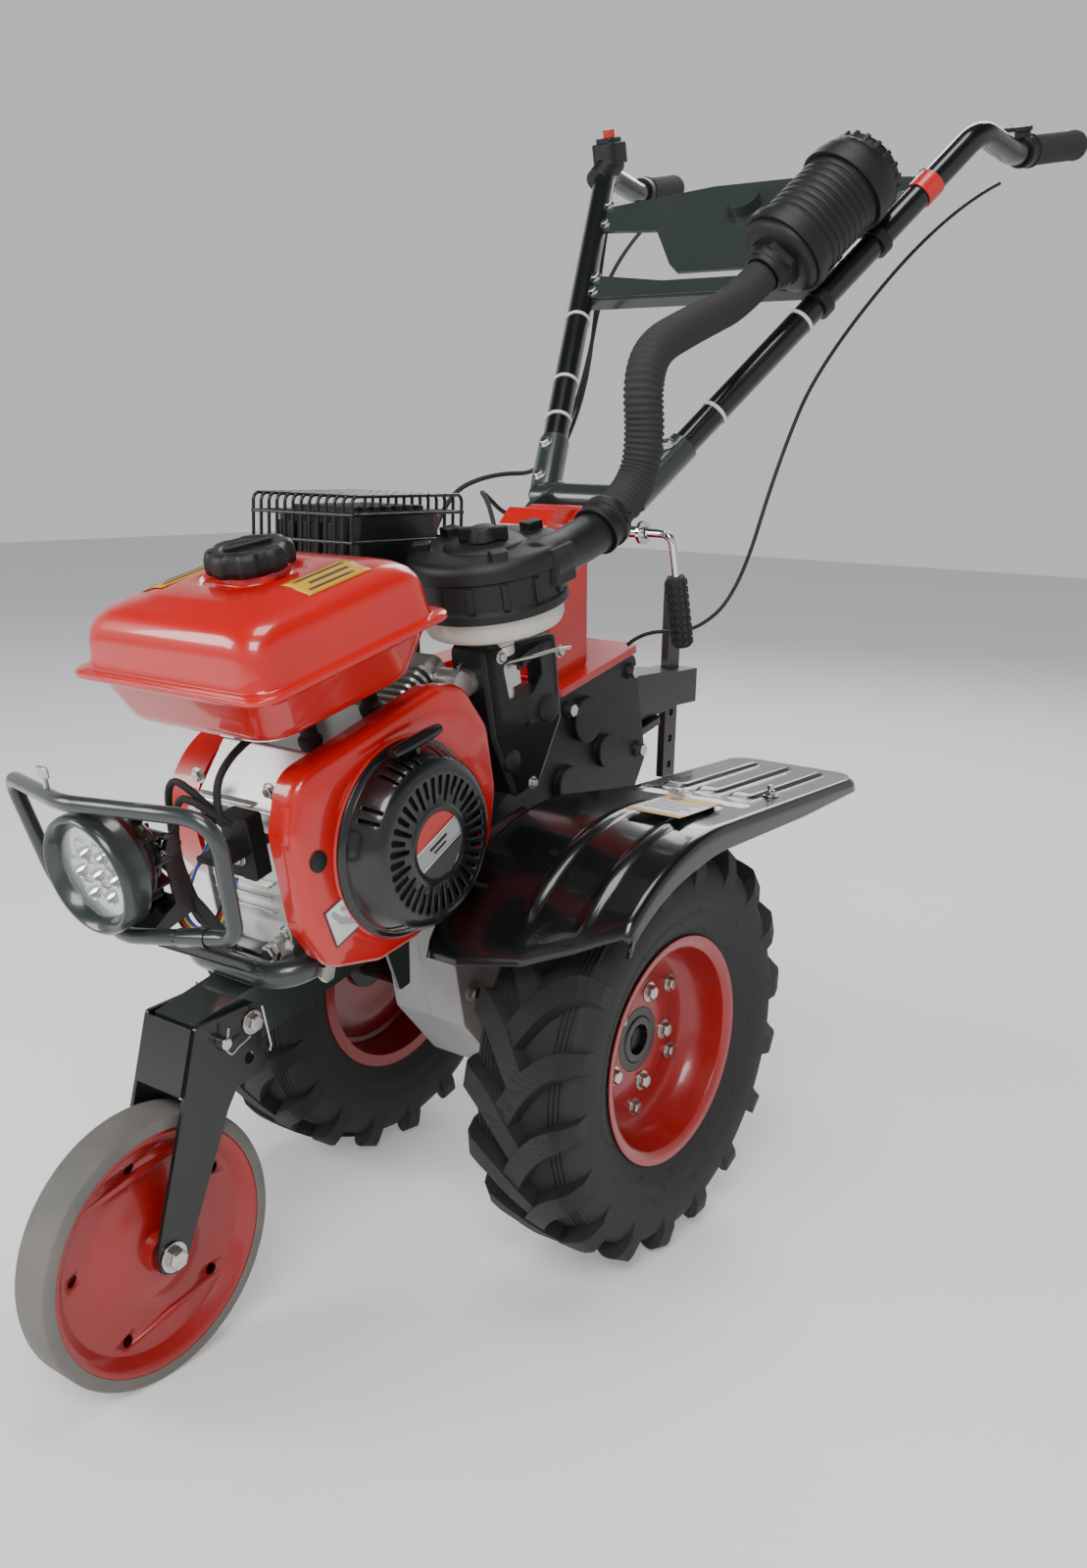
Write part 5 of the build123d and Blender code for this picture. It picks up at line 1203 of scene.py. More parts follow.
@dataclass
class FuelTank:
    """The pressed petrol tank, its cap, mounts and notices."""

    shop: Shop
    x: float = 36.1
    y: float = -249.6
    seam: float = 484.1
    width: float = 226.5
    length: float = 223.0
    cap: Flat = (36.8, -246.3)

    def ring(self, grow: float, z: float, radius: float = 26.0) -> list[Vector]:
        """One level outline of the tank shell."""
        w, l = self.width - 2 * grow, self.length - 2 * grow
        return [Vector((self.x + a, self.y + b, z)) for a, b in box_outline(w, l, min(radius, w / 2.2), 7)]

    def collar(self, like: Sequence[Vector], radius: float, z: float) -> list[Vector]:
        """A circle round the filler with as many points as an outline."""
        out = []
        for p in like:
            angle = math.atan2(p.y - self.cap[1], p.x - self.cap[0])
            out.append(Vector((self.cap[0] + radius * math.cos(angle), self.cap[1] + radius * math.sin(angle), z)))
        return out

    def build(self) -> None:
        """Shell, cap, labels."""
        form = Form()
        z = self.seam
        lower = [
            (56, -48, 26), (38, -47.8, 28), (30, -46, 30), (25.6, -42, 30), (23, -36, 29), (14.5, -12, 27),
            (11.5, -5.6, 27), (9, -3.3, 26), (1.2, -3.2, 23), (0, -2.0, 22)
        ]
        upper = [
            (0, 1.6, 22), (1.2, 2.8, 23), (8.0, 3.2, 24), (9.0, 5.6, 25), (9.6, 14, 26), (10.6, 26, 27), (12.4, 35, 28), (
                16.5, 42.6, 30
            ), (23, 47.8, 32),
            (32, 51.2, 34), (44, 53.8, 36), (48, 55.6, 34), (52, 56.4, 32),
        ]
        rows = [self.ring(g, z + h, r) for g, h, r in [*lower, *upper]]
        last = rows[-1]
        for radius, height in (
            (47, 58.2), (43.5, 57.4), (41, 54.4), (33, 53.8), (31, 55), (30, 60.4), (27, 60.6), (24, 60.4),
            (24, 40)
        ):
            rows.append(self.collar(last, radius, z + height))
        form.skin(rows, True)
        form.put(rows[0], [tuple(range(len(rows[0])))])
        form.tint = 1
        for fx, fy in ((-30, -222), (40, -222), (-30, -145), (40, -145)):
            form.lathe(
                [(0, 6), (0, 9), (4, 10.5), (9, 10.5), (12, 7.5), (30, 7.5), (34, 11), (45, 11), (50, 9), (58, 9)],
                (fx, fy, 381.4), (0, 0, 1), 24
            )
        self.shop.make("tank_shell", form, "chassis", "red_paint", [Look.RED, Look.RUBBER], ["fuel_tank"], 0.4)
        self.filler()
        self.notices()

    def filler(self) -> None:
        """The lobed cap with grips and a stepped top."""
        form = Form()
        base = self.seam + 61.4
        count = 128
        rows = []
        for grow, height in (
            (-12, -10), (-11, 0), (-2.5, 0), (-0.6, 2), (0, 6), (-0.4, 13), (-2.2, 17.5), (-5, 19.2),
            (-10, 19.6), (-14, 19.0), (-15.5, 17.4), (-24, 17.2), (-36.5, 17.6)
        ):
            row = []
            for j in range(count):
                theta = TAU * j / count
                lobe = smooth((math.cos(theta * 8) + 0.55) / 0.9)
                share = 1.0 if -6 < grow <= 0 else 0.0
                r = 36.6 + grow - 3.2 * (1 - lobe) * share
                row.append(Vector((self.cap[0] + r * math.cos(theta), self.cap[1] + r * math.sin(theta), base + height)))
            rows.append(row)
        form.skin(rows, True)
        form.put(rows[-1], [tuple(range(count))])
        form.prism(
            box_outline(40, 7, 3), 3.4, Seat((self.cap[0], self.cap[1], base + 17.2), (0.4, 1, 0), (-1, 0.4, 0))
        )
        self.shop.make("filler_cap", form, "tank_cap", "gloss_black", [Look.MATT], ["fuel_cap"], 0.5)

    def notices(self) -> None:
        """Two plain yellow notices on the top, with bars in place of writing."""
        form = Form()
        for cx, cy, w, l in ((-28, -262, 30, 74), (104, -232, 30, 70)):
            for tint, lift, pads in (
                (0, 0.5, [(0, 0, w, l)]),
                (1, 1.0, [(-8, 0, 2.4, l - 14), (0, 4, 2.4, l - 24), (8, -3, 2.4, l - 20)])
            ):
                form.tint = tint
                for ox, oy, pw, pl in pads:
                    rows = []
                    for i in range(9):
                        x = cx + ox + pw * (i / 8 - 0.5)
                        rows.append([Vector((x, y, self.seam + self.crown(x, y) + lift)) for y in (cy + oy + pl * (j / 12 - 0.5) for j in range(13))])
                    form.skin(rows)
        self.shop.make("tank_notices", form, "chassis", "red_paint", [Look.YELLOW, Look.INK], (), 0.0, 0.3)

    def crown(self, x: float, y: float) -> float:
        """Height of the tank's top above the seam at a place."""
        edge = min(self.width / 2 - abs(x - self.x), self.length / 2 - abs(y - self.y))
        return table(
            [
                (8, 3.2), (9, 5.6), (9.6, 14), (10.6, 26), (12.4, 35), (16.5, 42.6), (23, 47.8), (32, 51.2),
                (44, 53.8), (48, 55.6), (52, 56.4), (90, 58.2)
            ],
            edge
        )


@dataclass
class Starter:
    """The red fan shroud and the black recoil starter in it."""

    shop: Shop
    y: float = -193.3
    z: float = 296.2
    base: float = 105.4
    face: float = 140.1
    outline: tuple[Flat, ...] = (
        (
            -300, 222
        ), (-245, 200), (-205, 198), (-140, 206), (-84, 236), (-64, 288), (-64, 350), (-88, 396), (-120, 408), (-300, 396), (-320, 350), (-318, 262),
    )

    def build(self) -> None:
        """Shroud, cover, badge and handle."""
        self.shroud()
        self.cover()
        self.handle()

    def shroud(self) -> None:
        """The pressed shroud with a rounded edge, raised collar, plug and notice."""
        form = Form()
        edge = spaced(rounded(self.outline, [26, 20, 20, 40, 40, 30, 30, 30, 20, 34, 30, 30], 8), 200)
        rows = []
        for grow, x in ((2.4, 76), (2.4, 90), (0, 90), (0, 95), (1.2, 99.4), (4.0, 103.2), (8.2, 105.2)):
            rows.append([Vector((x, a, b)) for a, b in inset(edge, grow)])
        rows = [list(r) for r in rows]
        mouth = []
        for p in rows[-1]:
            angle = math.atan2(p.z - self.z, p.y - self.y)
            mouth.append((math.cos(angle), math.sin(angle)))
        for x, r in ((105.3, 89.0), (103.0, 83.0), (96.0, 82.0)):
            rows.append([Vector((x, self.y + a * r, self.z + b * r)) for a, b in mouth])
        form.skin(rows, True)
        form.lathe(
            [(-3, 83), (0, 83), (1.4, 84), (1.4, 87.5), (0, 89)], (self.base - 0.2, self.y, self.z), (1, 0, 0),
            96
        )
        form.tint = 1
        form.lathe([(-1, 9), (1.8, 9), (2.8, 7.5), (3.0, 0)], (105.2, -297, 322), (1, 0, 0), 32)
        form.tint = 2
        seat = Seat((105.7, -283, 262), (0, 0.98, 0.18), (0, -0.18, 0.98))
        form.prism(box_outline(31, 36, 1), 0.4, seat)
        form.tint = 3
        form.prism(box_outline(31, 36, 1), 0.6, seat, [box_outline(28.4, 33.4, 1)])
        form.tint = 4
        form.prism([(-10, 12), (-4, -2), (11, -12), (13, -8), (0, 3), (-6, 13)], 0.7, seat)
        form.prism([(2, 12), (11, 6), (12, 2), (1, 8)], 0.7, seat)
        self.shop.make(
            "shroud_skin", form, "chassis", "red_paint",
            [Look.RED, Look.MATT, Look.WHITE, Look.INK, Look.BADGE_GREY], ["fan_shroud"], 0.0, 0, 0, 50.0
        )

    def cover(self) -> None:
        """The slotted starter cover, its ring of slots and its badge."""
        form = Form()
        count = 144
        b, f = self.base, self.face
        profile = [
            (b + 0.2, 86.0), (b + 2.6, 86.0), (b + 4.4, 84.4), (b + 5.6, 81.2), (b + 12, 79.4), (b + 16, 78.0), (b + 21, 76.2), (b + 26, 74.0), (
                b + 29.6, 72.2
            ),
            (
                f - 3.2, 69.6
            ), (f - 0.8, 66.6), (f, 63.0), (f, 59.0), (f, 51), (f, 43), (f, 36.5), (f + 0.6, 34.0), (f + 1.4, 33.0), (f + 1.4, 29.6), (f + 0.4, 29.0), (f + 0.4, 4),
        ]
        form.lathe([(a - b, r) for a, r in profile], (b, self.y, self.z), (1, 0, 0), count, self.open_cell)
        self.shop.make("starter_cover", form, "chassis", "gloss_black", [Look.GLOSS], ["recoil_cover"], 0.35, 2.0)
        back = Form()
        back.lathe([(0, 62), (0, 30), (3, 28), (3, 4)], (f - 9, self.y, self.z), (1, 0, 0), 64)
        back.lathe([(0, 72), (16, 68)], (b + 8, self.y, self.z), (1, 0, 0), 64)
        self.shop.make("starter_liner", back, "chassis", "matt_black", [Look.RUBBER], (), 0.0, 1.0)
        badge = Form()
        seat = Seat((f + 0.9, self.y, self.z), (0, 1, 0.26), (0, -0.26, 1))
        r = 28.6
        for tint, low, high in (
            (0, 9.5, r * 0.999), (1, 8.2, 9.5), (2, -8.2, 8.2), (1, -9.5, -8.2), (3, -r * 0.999, -9.5)
        ):
            badge.tint = tint
            badge.prism(circle_band(r, low, high), 0.7, seat)
        badge.tint = 4
        badge.prism(box_outline(24, 2.6, 1), 0.9, Seat(tuple(seat.at(0, 2.4)), seat.u, seat.v))
        badge.prism(box_outline(17, 2.2, 1), 0.9, Seat(tuple(seat.at(0, -2.8)), seat.u, seat.v))
        self.shop.make(
            "starter_badge", badge, "chassis", "gloss_black",
            [Look.BADGE_RED, Look.WHITE, Look.BADGE_GREY, Look.INK, Look.MATT], (), 0.0
        )

    def open_cell(self, row: int, step: int) -> bool:
        """Which cells of the cover are slots."""
        if 12 <= row <= 14:
            long_slot = (step // 4) % 2 == 0
            return step % 4 in (1, 2) and (long_slot or row < 14)
        if 4 <= row <= 7:
            return not 58 <= step <= 86 and step % 18 < 12 and step % 3 == 0
        return False

    def handle(self) -> None:
        """The pull handle with its rope."""
        form = Form()
        top = self.z + 86.9
        rows = []
        for t in range(13):
            s = t / 12
            y = self.y - 20 + 60 * s
            w = 7.6 - 2.2 * abs(2 * s - 1) ** 3
            h = 5.2 - 1.2 * abs(2 * s - 1) ** 3
            rows.append([Vector((124 + w * math.cos(TAU * j / 20), y, top + 0.6 + h * math.sin(TAU * j / 20))) for j in range(20)])
        form.skin(rows, True)
        form.put(rows[0], [tuple(reversed(range(20)))])
        form.put(rows[-1], [tuple(range(20))])
        form.rod([(124, self.y + 10, self.z + 69), (124, self.y + 10, top)], 2.4, 12)
        self.shop.make(
            "starter_handle_grip", form, "starter_handle", "gloss_black", [Look.GLOSS], ["pull_handle"], 0.0
        )


@dataclass
class AirCleaner:
    """The round air cleaner over the carburettor."""

    shop: Shop
    x: float = 88.1
    y: float = -19.1
    low: float = 427.1
    joint: float = 455.0
    top: float = 503.0
    radius: float = 71.7

    def build(self) -> None:
        """Bowl, cap with snorkel, wing knob."""
        axis = (0, 0, 1)
        here = (self.x, self.y, 0)
        bowl = Form()
        bowl.lathe(
            [
                (self.low - 17, 16), (self.low - 1, 17), (self.low, 40), (self.low, 56), (self.low + 2.6, 61.6),
                (self.low + 8, 64.2), (self.joint - 4, 64.6), (self.joint - 3, 66.4), (self.joint, 66.4),
                (self.joint, 60)
            ],
            here, axis, 96
        )
        self.shop.make("cleaner_bowl", bowl, "chassis", "clear_bowl", [Look.MILKY], ["air_cleaner_bowl"], 0.3)
        body = Form()
        r, t = self.radius, self.top
        body.lathe([
            (self.joint - 6, r - 4), (
                self.joint - 6, r - 1.6
            ), (self.joint + 2, r - 1.2), (self.joint + 4, r - 3.6), (t - 24, r - 3.0), (t - 19, r - 2.4), (t - 17.5, r), (t - 9, r),
            (
                t - 4, r - 1.4
            ), (t - 1, r - 5), (t, r - 9), (t, 37), (t + 2, 35.6), (t + 3.2, 33), (t + 3.2, 14), (t + 1, 13), (t + 1, 0),
        ], here, axis, 96)
        for angle, reach in (
            (math.radians(-147), 56), (math.radians(76), 55), (math.radians(160), 58), (math.radians(-40), 58)
        ):
            cx, cy = self.x + reach * math.cos(angle), self.y + reach * math.sin(angle)
            body.block(
                (cx, cy, t + 2.0), (17, 15, 11), 2.5, (math.cos(angle), math.sin(angle), 0),
                (-math.sin(angle), math.cos(angle), 0)
            )
        for k in range(14):
            angle = TAU * k / 14 + 0.2
            body.block(
                (self.x + (r - 2.6) * math.cos(angle), self.y + (r - 2.6) * math.sin(angle), t - 32),
                (3.4, 6, 22), 1.0, (math.cos(angle), math.sin(angle), 0), (-math.sin(angle), math.cos(angle), 0)
            )
        start, end = Vector((141, -12, 484)), Vector((141, 84, 490))
        body.rod(
            [start, start.lerp(end, 0.25), start.lerp(end, 0.3), start.lerp(end, 0.6), end],
            lambda s: 21.5 if s < 0.3 else 20.0, 40
        )
        body.prism(
            [(108, -44), (141, -20), (161, -14), (161, 14), (122, 26), (100, 30)], 33,
            Seat((0, 0, t - 36), (1, 0, 0), (0, 1, 0))
        )
        self.shop.make("cleaner_body", body, "chassis", "matt_black", [Look.MATT], ["air_cleaner_body"], 0.8)
        knob = Form()
        z = t + 3.4
        knob.lathe(
            [(0, 0), (0, 15), (4, 14), (9, 12.4), (12.2, 11.4), (13, 9.5), (13, 0)], (self.x, self.y, z), axis,
            40
        )
        knob.prism(
            rounded([(-23, -4.2), (23, -4.2), (23, 4.2), (-23, 4.2)], 3.6), 12.6,
            Seat((self.x, self.y, z), (0.94, 0.34, 0), (-0.34, 0.94, 0))
        )
        knob.rod([(self.x, self.y, z - 20), (self.x, self.y, z)], 5, 20)
        self.shop.make(
            "cleaner_wing_knob", knob, "cleaner_knob", "matt_black", [Look.MATT], ["air_cleaner_knob"], 1.0
        )


@dataclass
class EngineDetails:
    """Bolts, leads, louvres and brackets on the engine."""

    shop: Shop

    def build(self) -> None:
        """Everything small on the engine block."""
        bolts = Form()
        for y, z in ((-270, 240), (-130, 240), (-110, 268), (-104, 300), (-128, 360), (-262, 356), (-274, 300)):
            bolts.bolt((56.2, y, z), (1, 0, 0), 6)
        for x, z in ((-40, 232), (40, 236), (-42, 300), (44, 366), (-44, 366)):
            bolts.bolt((x, -288 if z < 240 else -279, z), (0, -1, 0), 6)
        for x in (-30, 30):
            bolts.bolt((x, -299.5, 222), (0, -1, 0), 8.5)
        self.shop.make("block_bolts", bolts, "chassis", "zinc", [Look.ZINC], (), 0.25)
        ribs = Form()
        for z in (252, 264, 276, 340, 352):
            ribs.block((-8, -284, z), (70, 8, 2.6), 0.8)
        for x in (-46, -36, 46):
            ribs.block((x, -286, 262), (2.6, 10, 70), 0.8)
        ribs.lathe([(0, 10), (10, 10), (12, 8), (12, 0)], (-42, -284, 334), (0, -1, 0.1), 28)
        self.shop.make("block_ribs", ribs, "chassis", "cast_alloy", [Look.ALLOY], (), 0.5)
        leads = Form()
        for tint, shift in enumerate((0, 3, 6, 9)):
            leads.tint = tint
            path = [
                (18 + shift, -318, 300), (8 + shift, -326, 268), (-6 + shift * 2, -340, 250),
                (-24, -352 + shift, 262), (-30 + shift, -330, 290), (-30, -300, 300 + shift), (-28, -290, 316)
            ]
            leads.rod(flow(path), 1.5, 8)
        self.shop.make(
            "thin_leads", leads, "chassis", "soft_rubber",
            [Look.RUBBER, Look.BADGE_RED, Look.WIRE_YELLOW, Look.WIRE_BLUE], (), 0.0
        )
        loom = Form()
        for shift, drop in ((0, 0), (7, 14), (-8, 26)):
            path = [
                (24 + shift, -316, 350), (20 + shift, -340, 392 - drop), (-4 + shift, -342, 396 - drop),
                (-22, -336, 340 - drop), (-18 + shift, -338, 290), (6, -344, 262 + drop), (20, -330, 240)
            ]
            loom.rod(flow(path), 3.2, 12)
        lamp_lead = [(0, -379, 348), (2, -356, 318), (-6, -344, 276), (-12, -330, 250), (-10, -296, 240)]
        loom.rod(flow(lamp_lead), 3.0, 12)
        plug = [(28, -322, 352), (34, -330, 384), (30, -300, 406), (24, -240, 412), (22, -206, 418)]
        loom.rod(flow(plug), 3.4, 12)
        self.shop.make("black_leads", loom, "chassis", "soft_rubber", [Look.RUBBER], (), 0.0)
        coil = Form()
        coil.block((28, -314, 326), (34, 6, 56), 3, (1, 0, 0), (0, 0, 1))
        coil.prism(box_outline(34, 56, 3), 17, Seat((28, -294.2, 326), (1, 0, 0), (0, 0, 1)))
        coil.block((28, -300, 298), (16, 12, 10), 2)
        coil.tint = 1
        coil.bolt((28, -311.4, 316), (0, -1, 0), 5.5)
        self.shop.make("coil_box", coil, "chassis", "matt_black", [Look.MATT, Look.ZINC], ["ignition_box"], 0.8)
        tilt = STANCE.tilt
        louvres = Form()
        up = (0, math.sin(tilt), math.cos(tilt))
        run = (0, math.cos(tilt), -math.sin(tilt))
        for k in range(7):
            seat = Seat((-48, -45, 470), (1, 0, 0), run)
            louvres.block(tuple(seat.at(0, -46 + k * 15, 65.6)), (78, 8, 5), 2.5, (1, 0, 0), run)
        for k in range(6):
            seat = Seat((-48, -45, 470), (1, 0, 0), run)
            louvres.block(tuple(seat.at(-40 + k * 16, -62.4, 32)), (9, 44, 4), 2, (1, 0, 0), up)
        self.shop.make("silencer_louvres", louvres, "chassis", "black_paint", [Look.BLACK], (), 0.8)
        tray = Form()
        edge = rounded(
            [(-56, 330), (-36, 262), (4, 262), (50, 312), (56, 398), (-56, 420)], [8, 10, 10, 12, 12, 12], 6
        )
        tray.skin(
            [
                [Vector((x, a, b)) for a, b in inset(edge, g)] for g,
                x in ((1.5, 62), (1.5, 89), (0.4, 96), (2.4, 99.2), (6, 100))
            ],
            True
        )
        window = rounded([(-26, 356), (8, 352), (26, 366), (26, 390), (-30, 394)], 6, 4)
        tray.prism(inset(edge, 6), -2.2, side_seat(100), [window])
        tray.block((79, 4, 344), (36, 80, 3), 2)
        tray.lathe([(0, 17), (6, 16), (9, 12), (9, 0)], (93, 30, 330), (1, 0, 0.1), 40)
        tray.lathe([(0, 12), (8, 11), (10, 8), (10, 0)], (93, -34, 300), (1, 0, 0), 32)
        self.shop.make("side_tray", tray, "chassis", "matt_black", [Look.MATT], ["side_panel"], 0.5)
        linkage = Form()
        linkage.rod(bend_run([(96, -20, 392), (118, -8, 396), (122, 26, 392), (116, 52, 384)], [6, 8]), 1.8, 10)
        linkage.rod(bend_run([(72, -60, 398), (76, -20, 412), (74, 10, 408)], [10]), 1.6, 10)
        linkage.bolt((112, 40, 384), (1, 0, 0), 5)
        linkage.bolt((112, -46, 408), (1, 0, 0), 5)
        linkage.bolt((112, -24, 276), (1, 0, 0), 5)
        self.shop.make("governor_links", linkage, "chassis", "zinc", [Look.ZINC], (), 0.2)


# ------------------------------------------------------------------------------------- lamp, guard
@dataclass
class LampAndGuard:
    """The round work lamp and the tube guard round it."""

    shop: Shop
    y: float = -426.8
    z: float = 354.4
    radius: float = 51.0

    def build(self) -> None:
        """Guard, bezel, reflectors, lens and shell."""
        corners = [
            (60, -409, 300.5), (4, -418, 293), (-114, -394, 303), (-125, -405, 404), (-10, -437, 415),
            (60, -419, 412.2), (125, -403, 410), (116, -400, 308)
        ]
        middle = tuple((Vector(corners[0]) + Vector(corners[-1])) / 2)
        path = bend_run([middle, *corners, middle], [1, 60, 26, 18, 60, 1, 40, 28], 10)
        guard = Form()
        guard.rod(path, 7.5, 24, False)
        for side in (1, -1):
            guard.bolt((side * 30, -410, 297), (0, -0.3, -0.95), 6)
        self.shop.make("guard_loop", guard, "chassis", "grey_paint", [Look.GREY], ["bumper"], 0.0)
        axis = (0, -1, 0)
        here = (0, self.y, self.z)
        r = self.radius
        bezel = Form()
        bezel.lathe(
            [
                (-10, r - 6.6), (-10, r), (-6, r), (-2, r - 0.6), (8, r - 0.4), (12, r - 1.2), (14, r - 3.4),
                (14, r - 5), (12, r - 7.4), (2, r - 12.2), (-3, r - 13.2), (-6, r - 13.4), (-6, r - 6.6),
                (-10, r - 6.6)
            ],
            here, axis, 96
        )
        self.shop.make("lamp_ring", bezel, "lamp", "grey_paint", [Look.GREY], ["headlamp_bezel"], 0.4)
        cups = Form()
        for row, count in ((-17, 2), (0, 3), (17, 2)):
            for k in range(count):
                x = (k - (count - 1) / 2) * 21
                spot = (x, self.y - 1, self.z + row)
                cups.tint = 0
                cups.lathe([(0, 10.4), (-0.6, 9.8), (-5, 8), (-9, 5.4), (-11, 3), (-11, 0)], spot, axis, 32)
                cups.tint = 1
                cups.lathe([(-11, 2.4), (-8.4, 2.2), (-7.8, 0)], spot, axis, 16)
        cups.tint = 0
        holes = [ring_outline(10.2, 32, (k - (n - 1) / 2) * 21, row) for row, n in ((-17, 2), (0, 3), (17, 2)) for k in range(n)]
        cups.prism(ring_outline(r - 12.6, 64), 1.0, Seat((0, self.y - 0.6, self.z), (1, 0, 0), (0, 0, 1)), holes)
        self.shop.make("lamp_cups", cups, "lamp", "lamp_clear", [Look.MIRROR, Look.CHIP], (), 0.0)
        lens = Form()
        lens.lathe([(2, r - 12.4), (4.4, r - 13), (6.4, r - 20), (7.6, 16), (8, 0)], here, axis, 64)
        self.shop.make("lamp_lens", lens, "lamp", "lamp_clear", [Look.CLEAR], ["headlamp_lens"], 0.0, 0.8)
        shell = Form()
        shell.lathe(
            [
                (-8, r - 7), (-12, r - 5.6), (-20, r - 7.4), (-34, r - 16), (-44, r - 27), (-48, 17), (-49, 9),
                (-60, 8), (-62, 4), (-62, 0)
            ],
            here, axis, 72
        )
        for k in range(12):
            a = TAU * k / 12
            seat = Seat(
                (math.cos(a) * 36, self.y + 22, self.z + math.sin(a) * 36), (math.cos(a), 0, math.sin(a)),
                (0, 1, 0)
            )
            shell.block(tuple(seat.at(0, 6)), (12, 22, 2.4), 1, seat.u, seat.v)
        shell.rod([(-14, self.y + 56, self.z), (14, self.y + 56, self.z)], 9, 28)
        shell.tint = 1
        for side in (1, -1):
            shell.bolt((side * 18.4, self.y + 56, self.z), (side, 0, 0), 6.5)
        self.shop.make("lamp_shell", shell, "lamp", "gloss_black", [Look.GLOSS, Look.ZINC], ["headlamp_housing"], 0.5)
        screw = Form()
        screw.rod([(-38, -428, 410), (-38, -428, 436)], 2.4, 12)
        screw.block((-38, -428, 432), (13, 2.6, 9), 1.2)
        self.shop.make("wing_screw", screw, "chassis", "zinc", [Look.ZINC], (), 0.5)


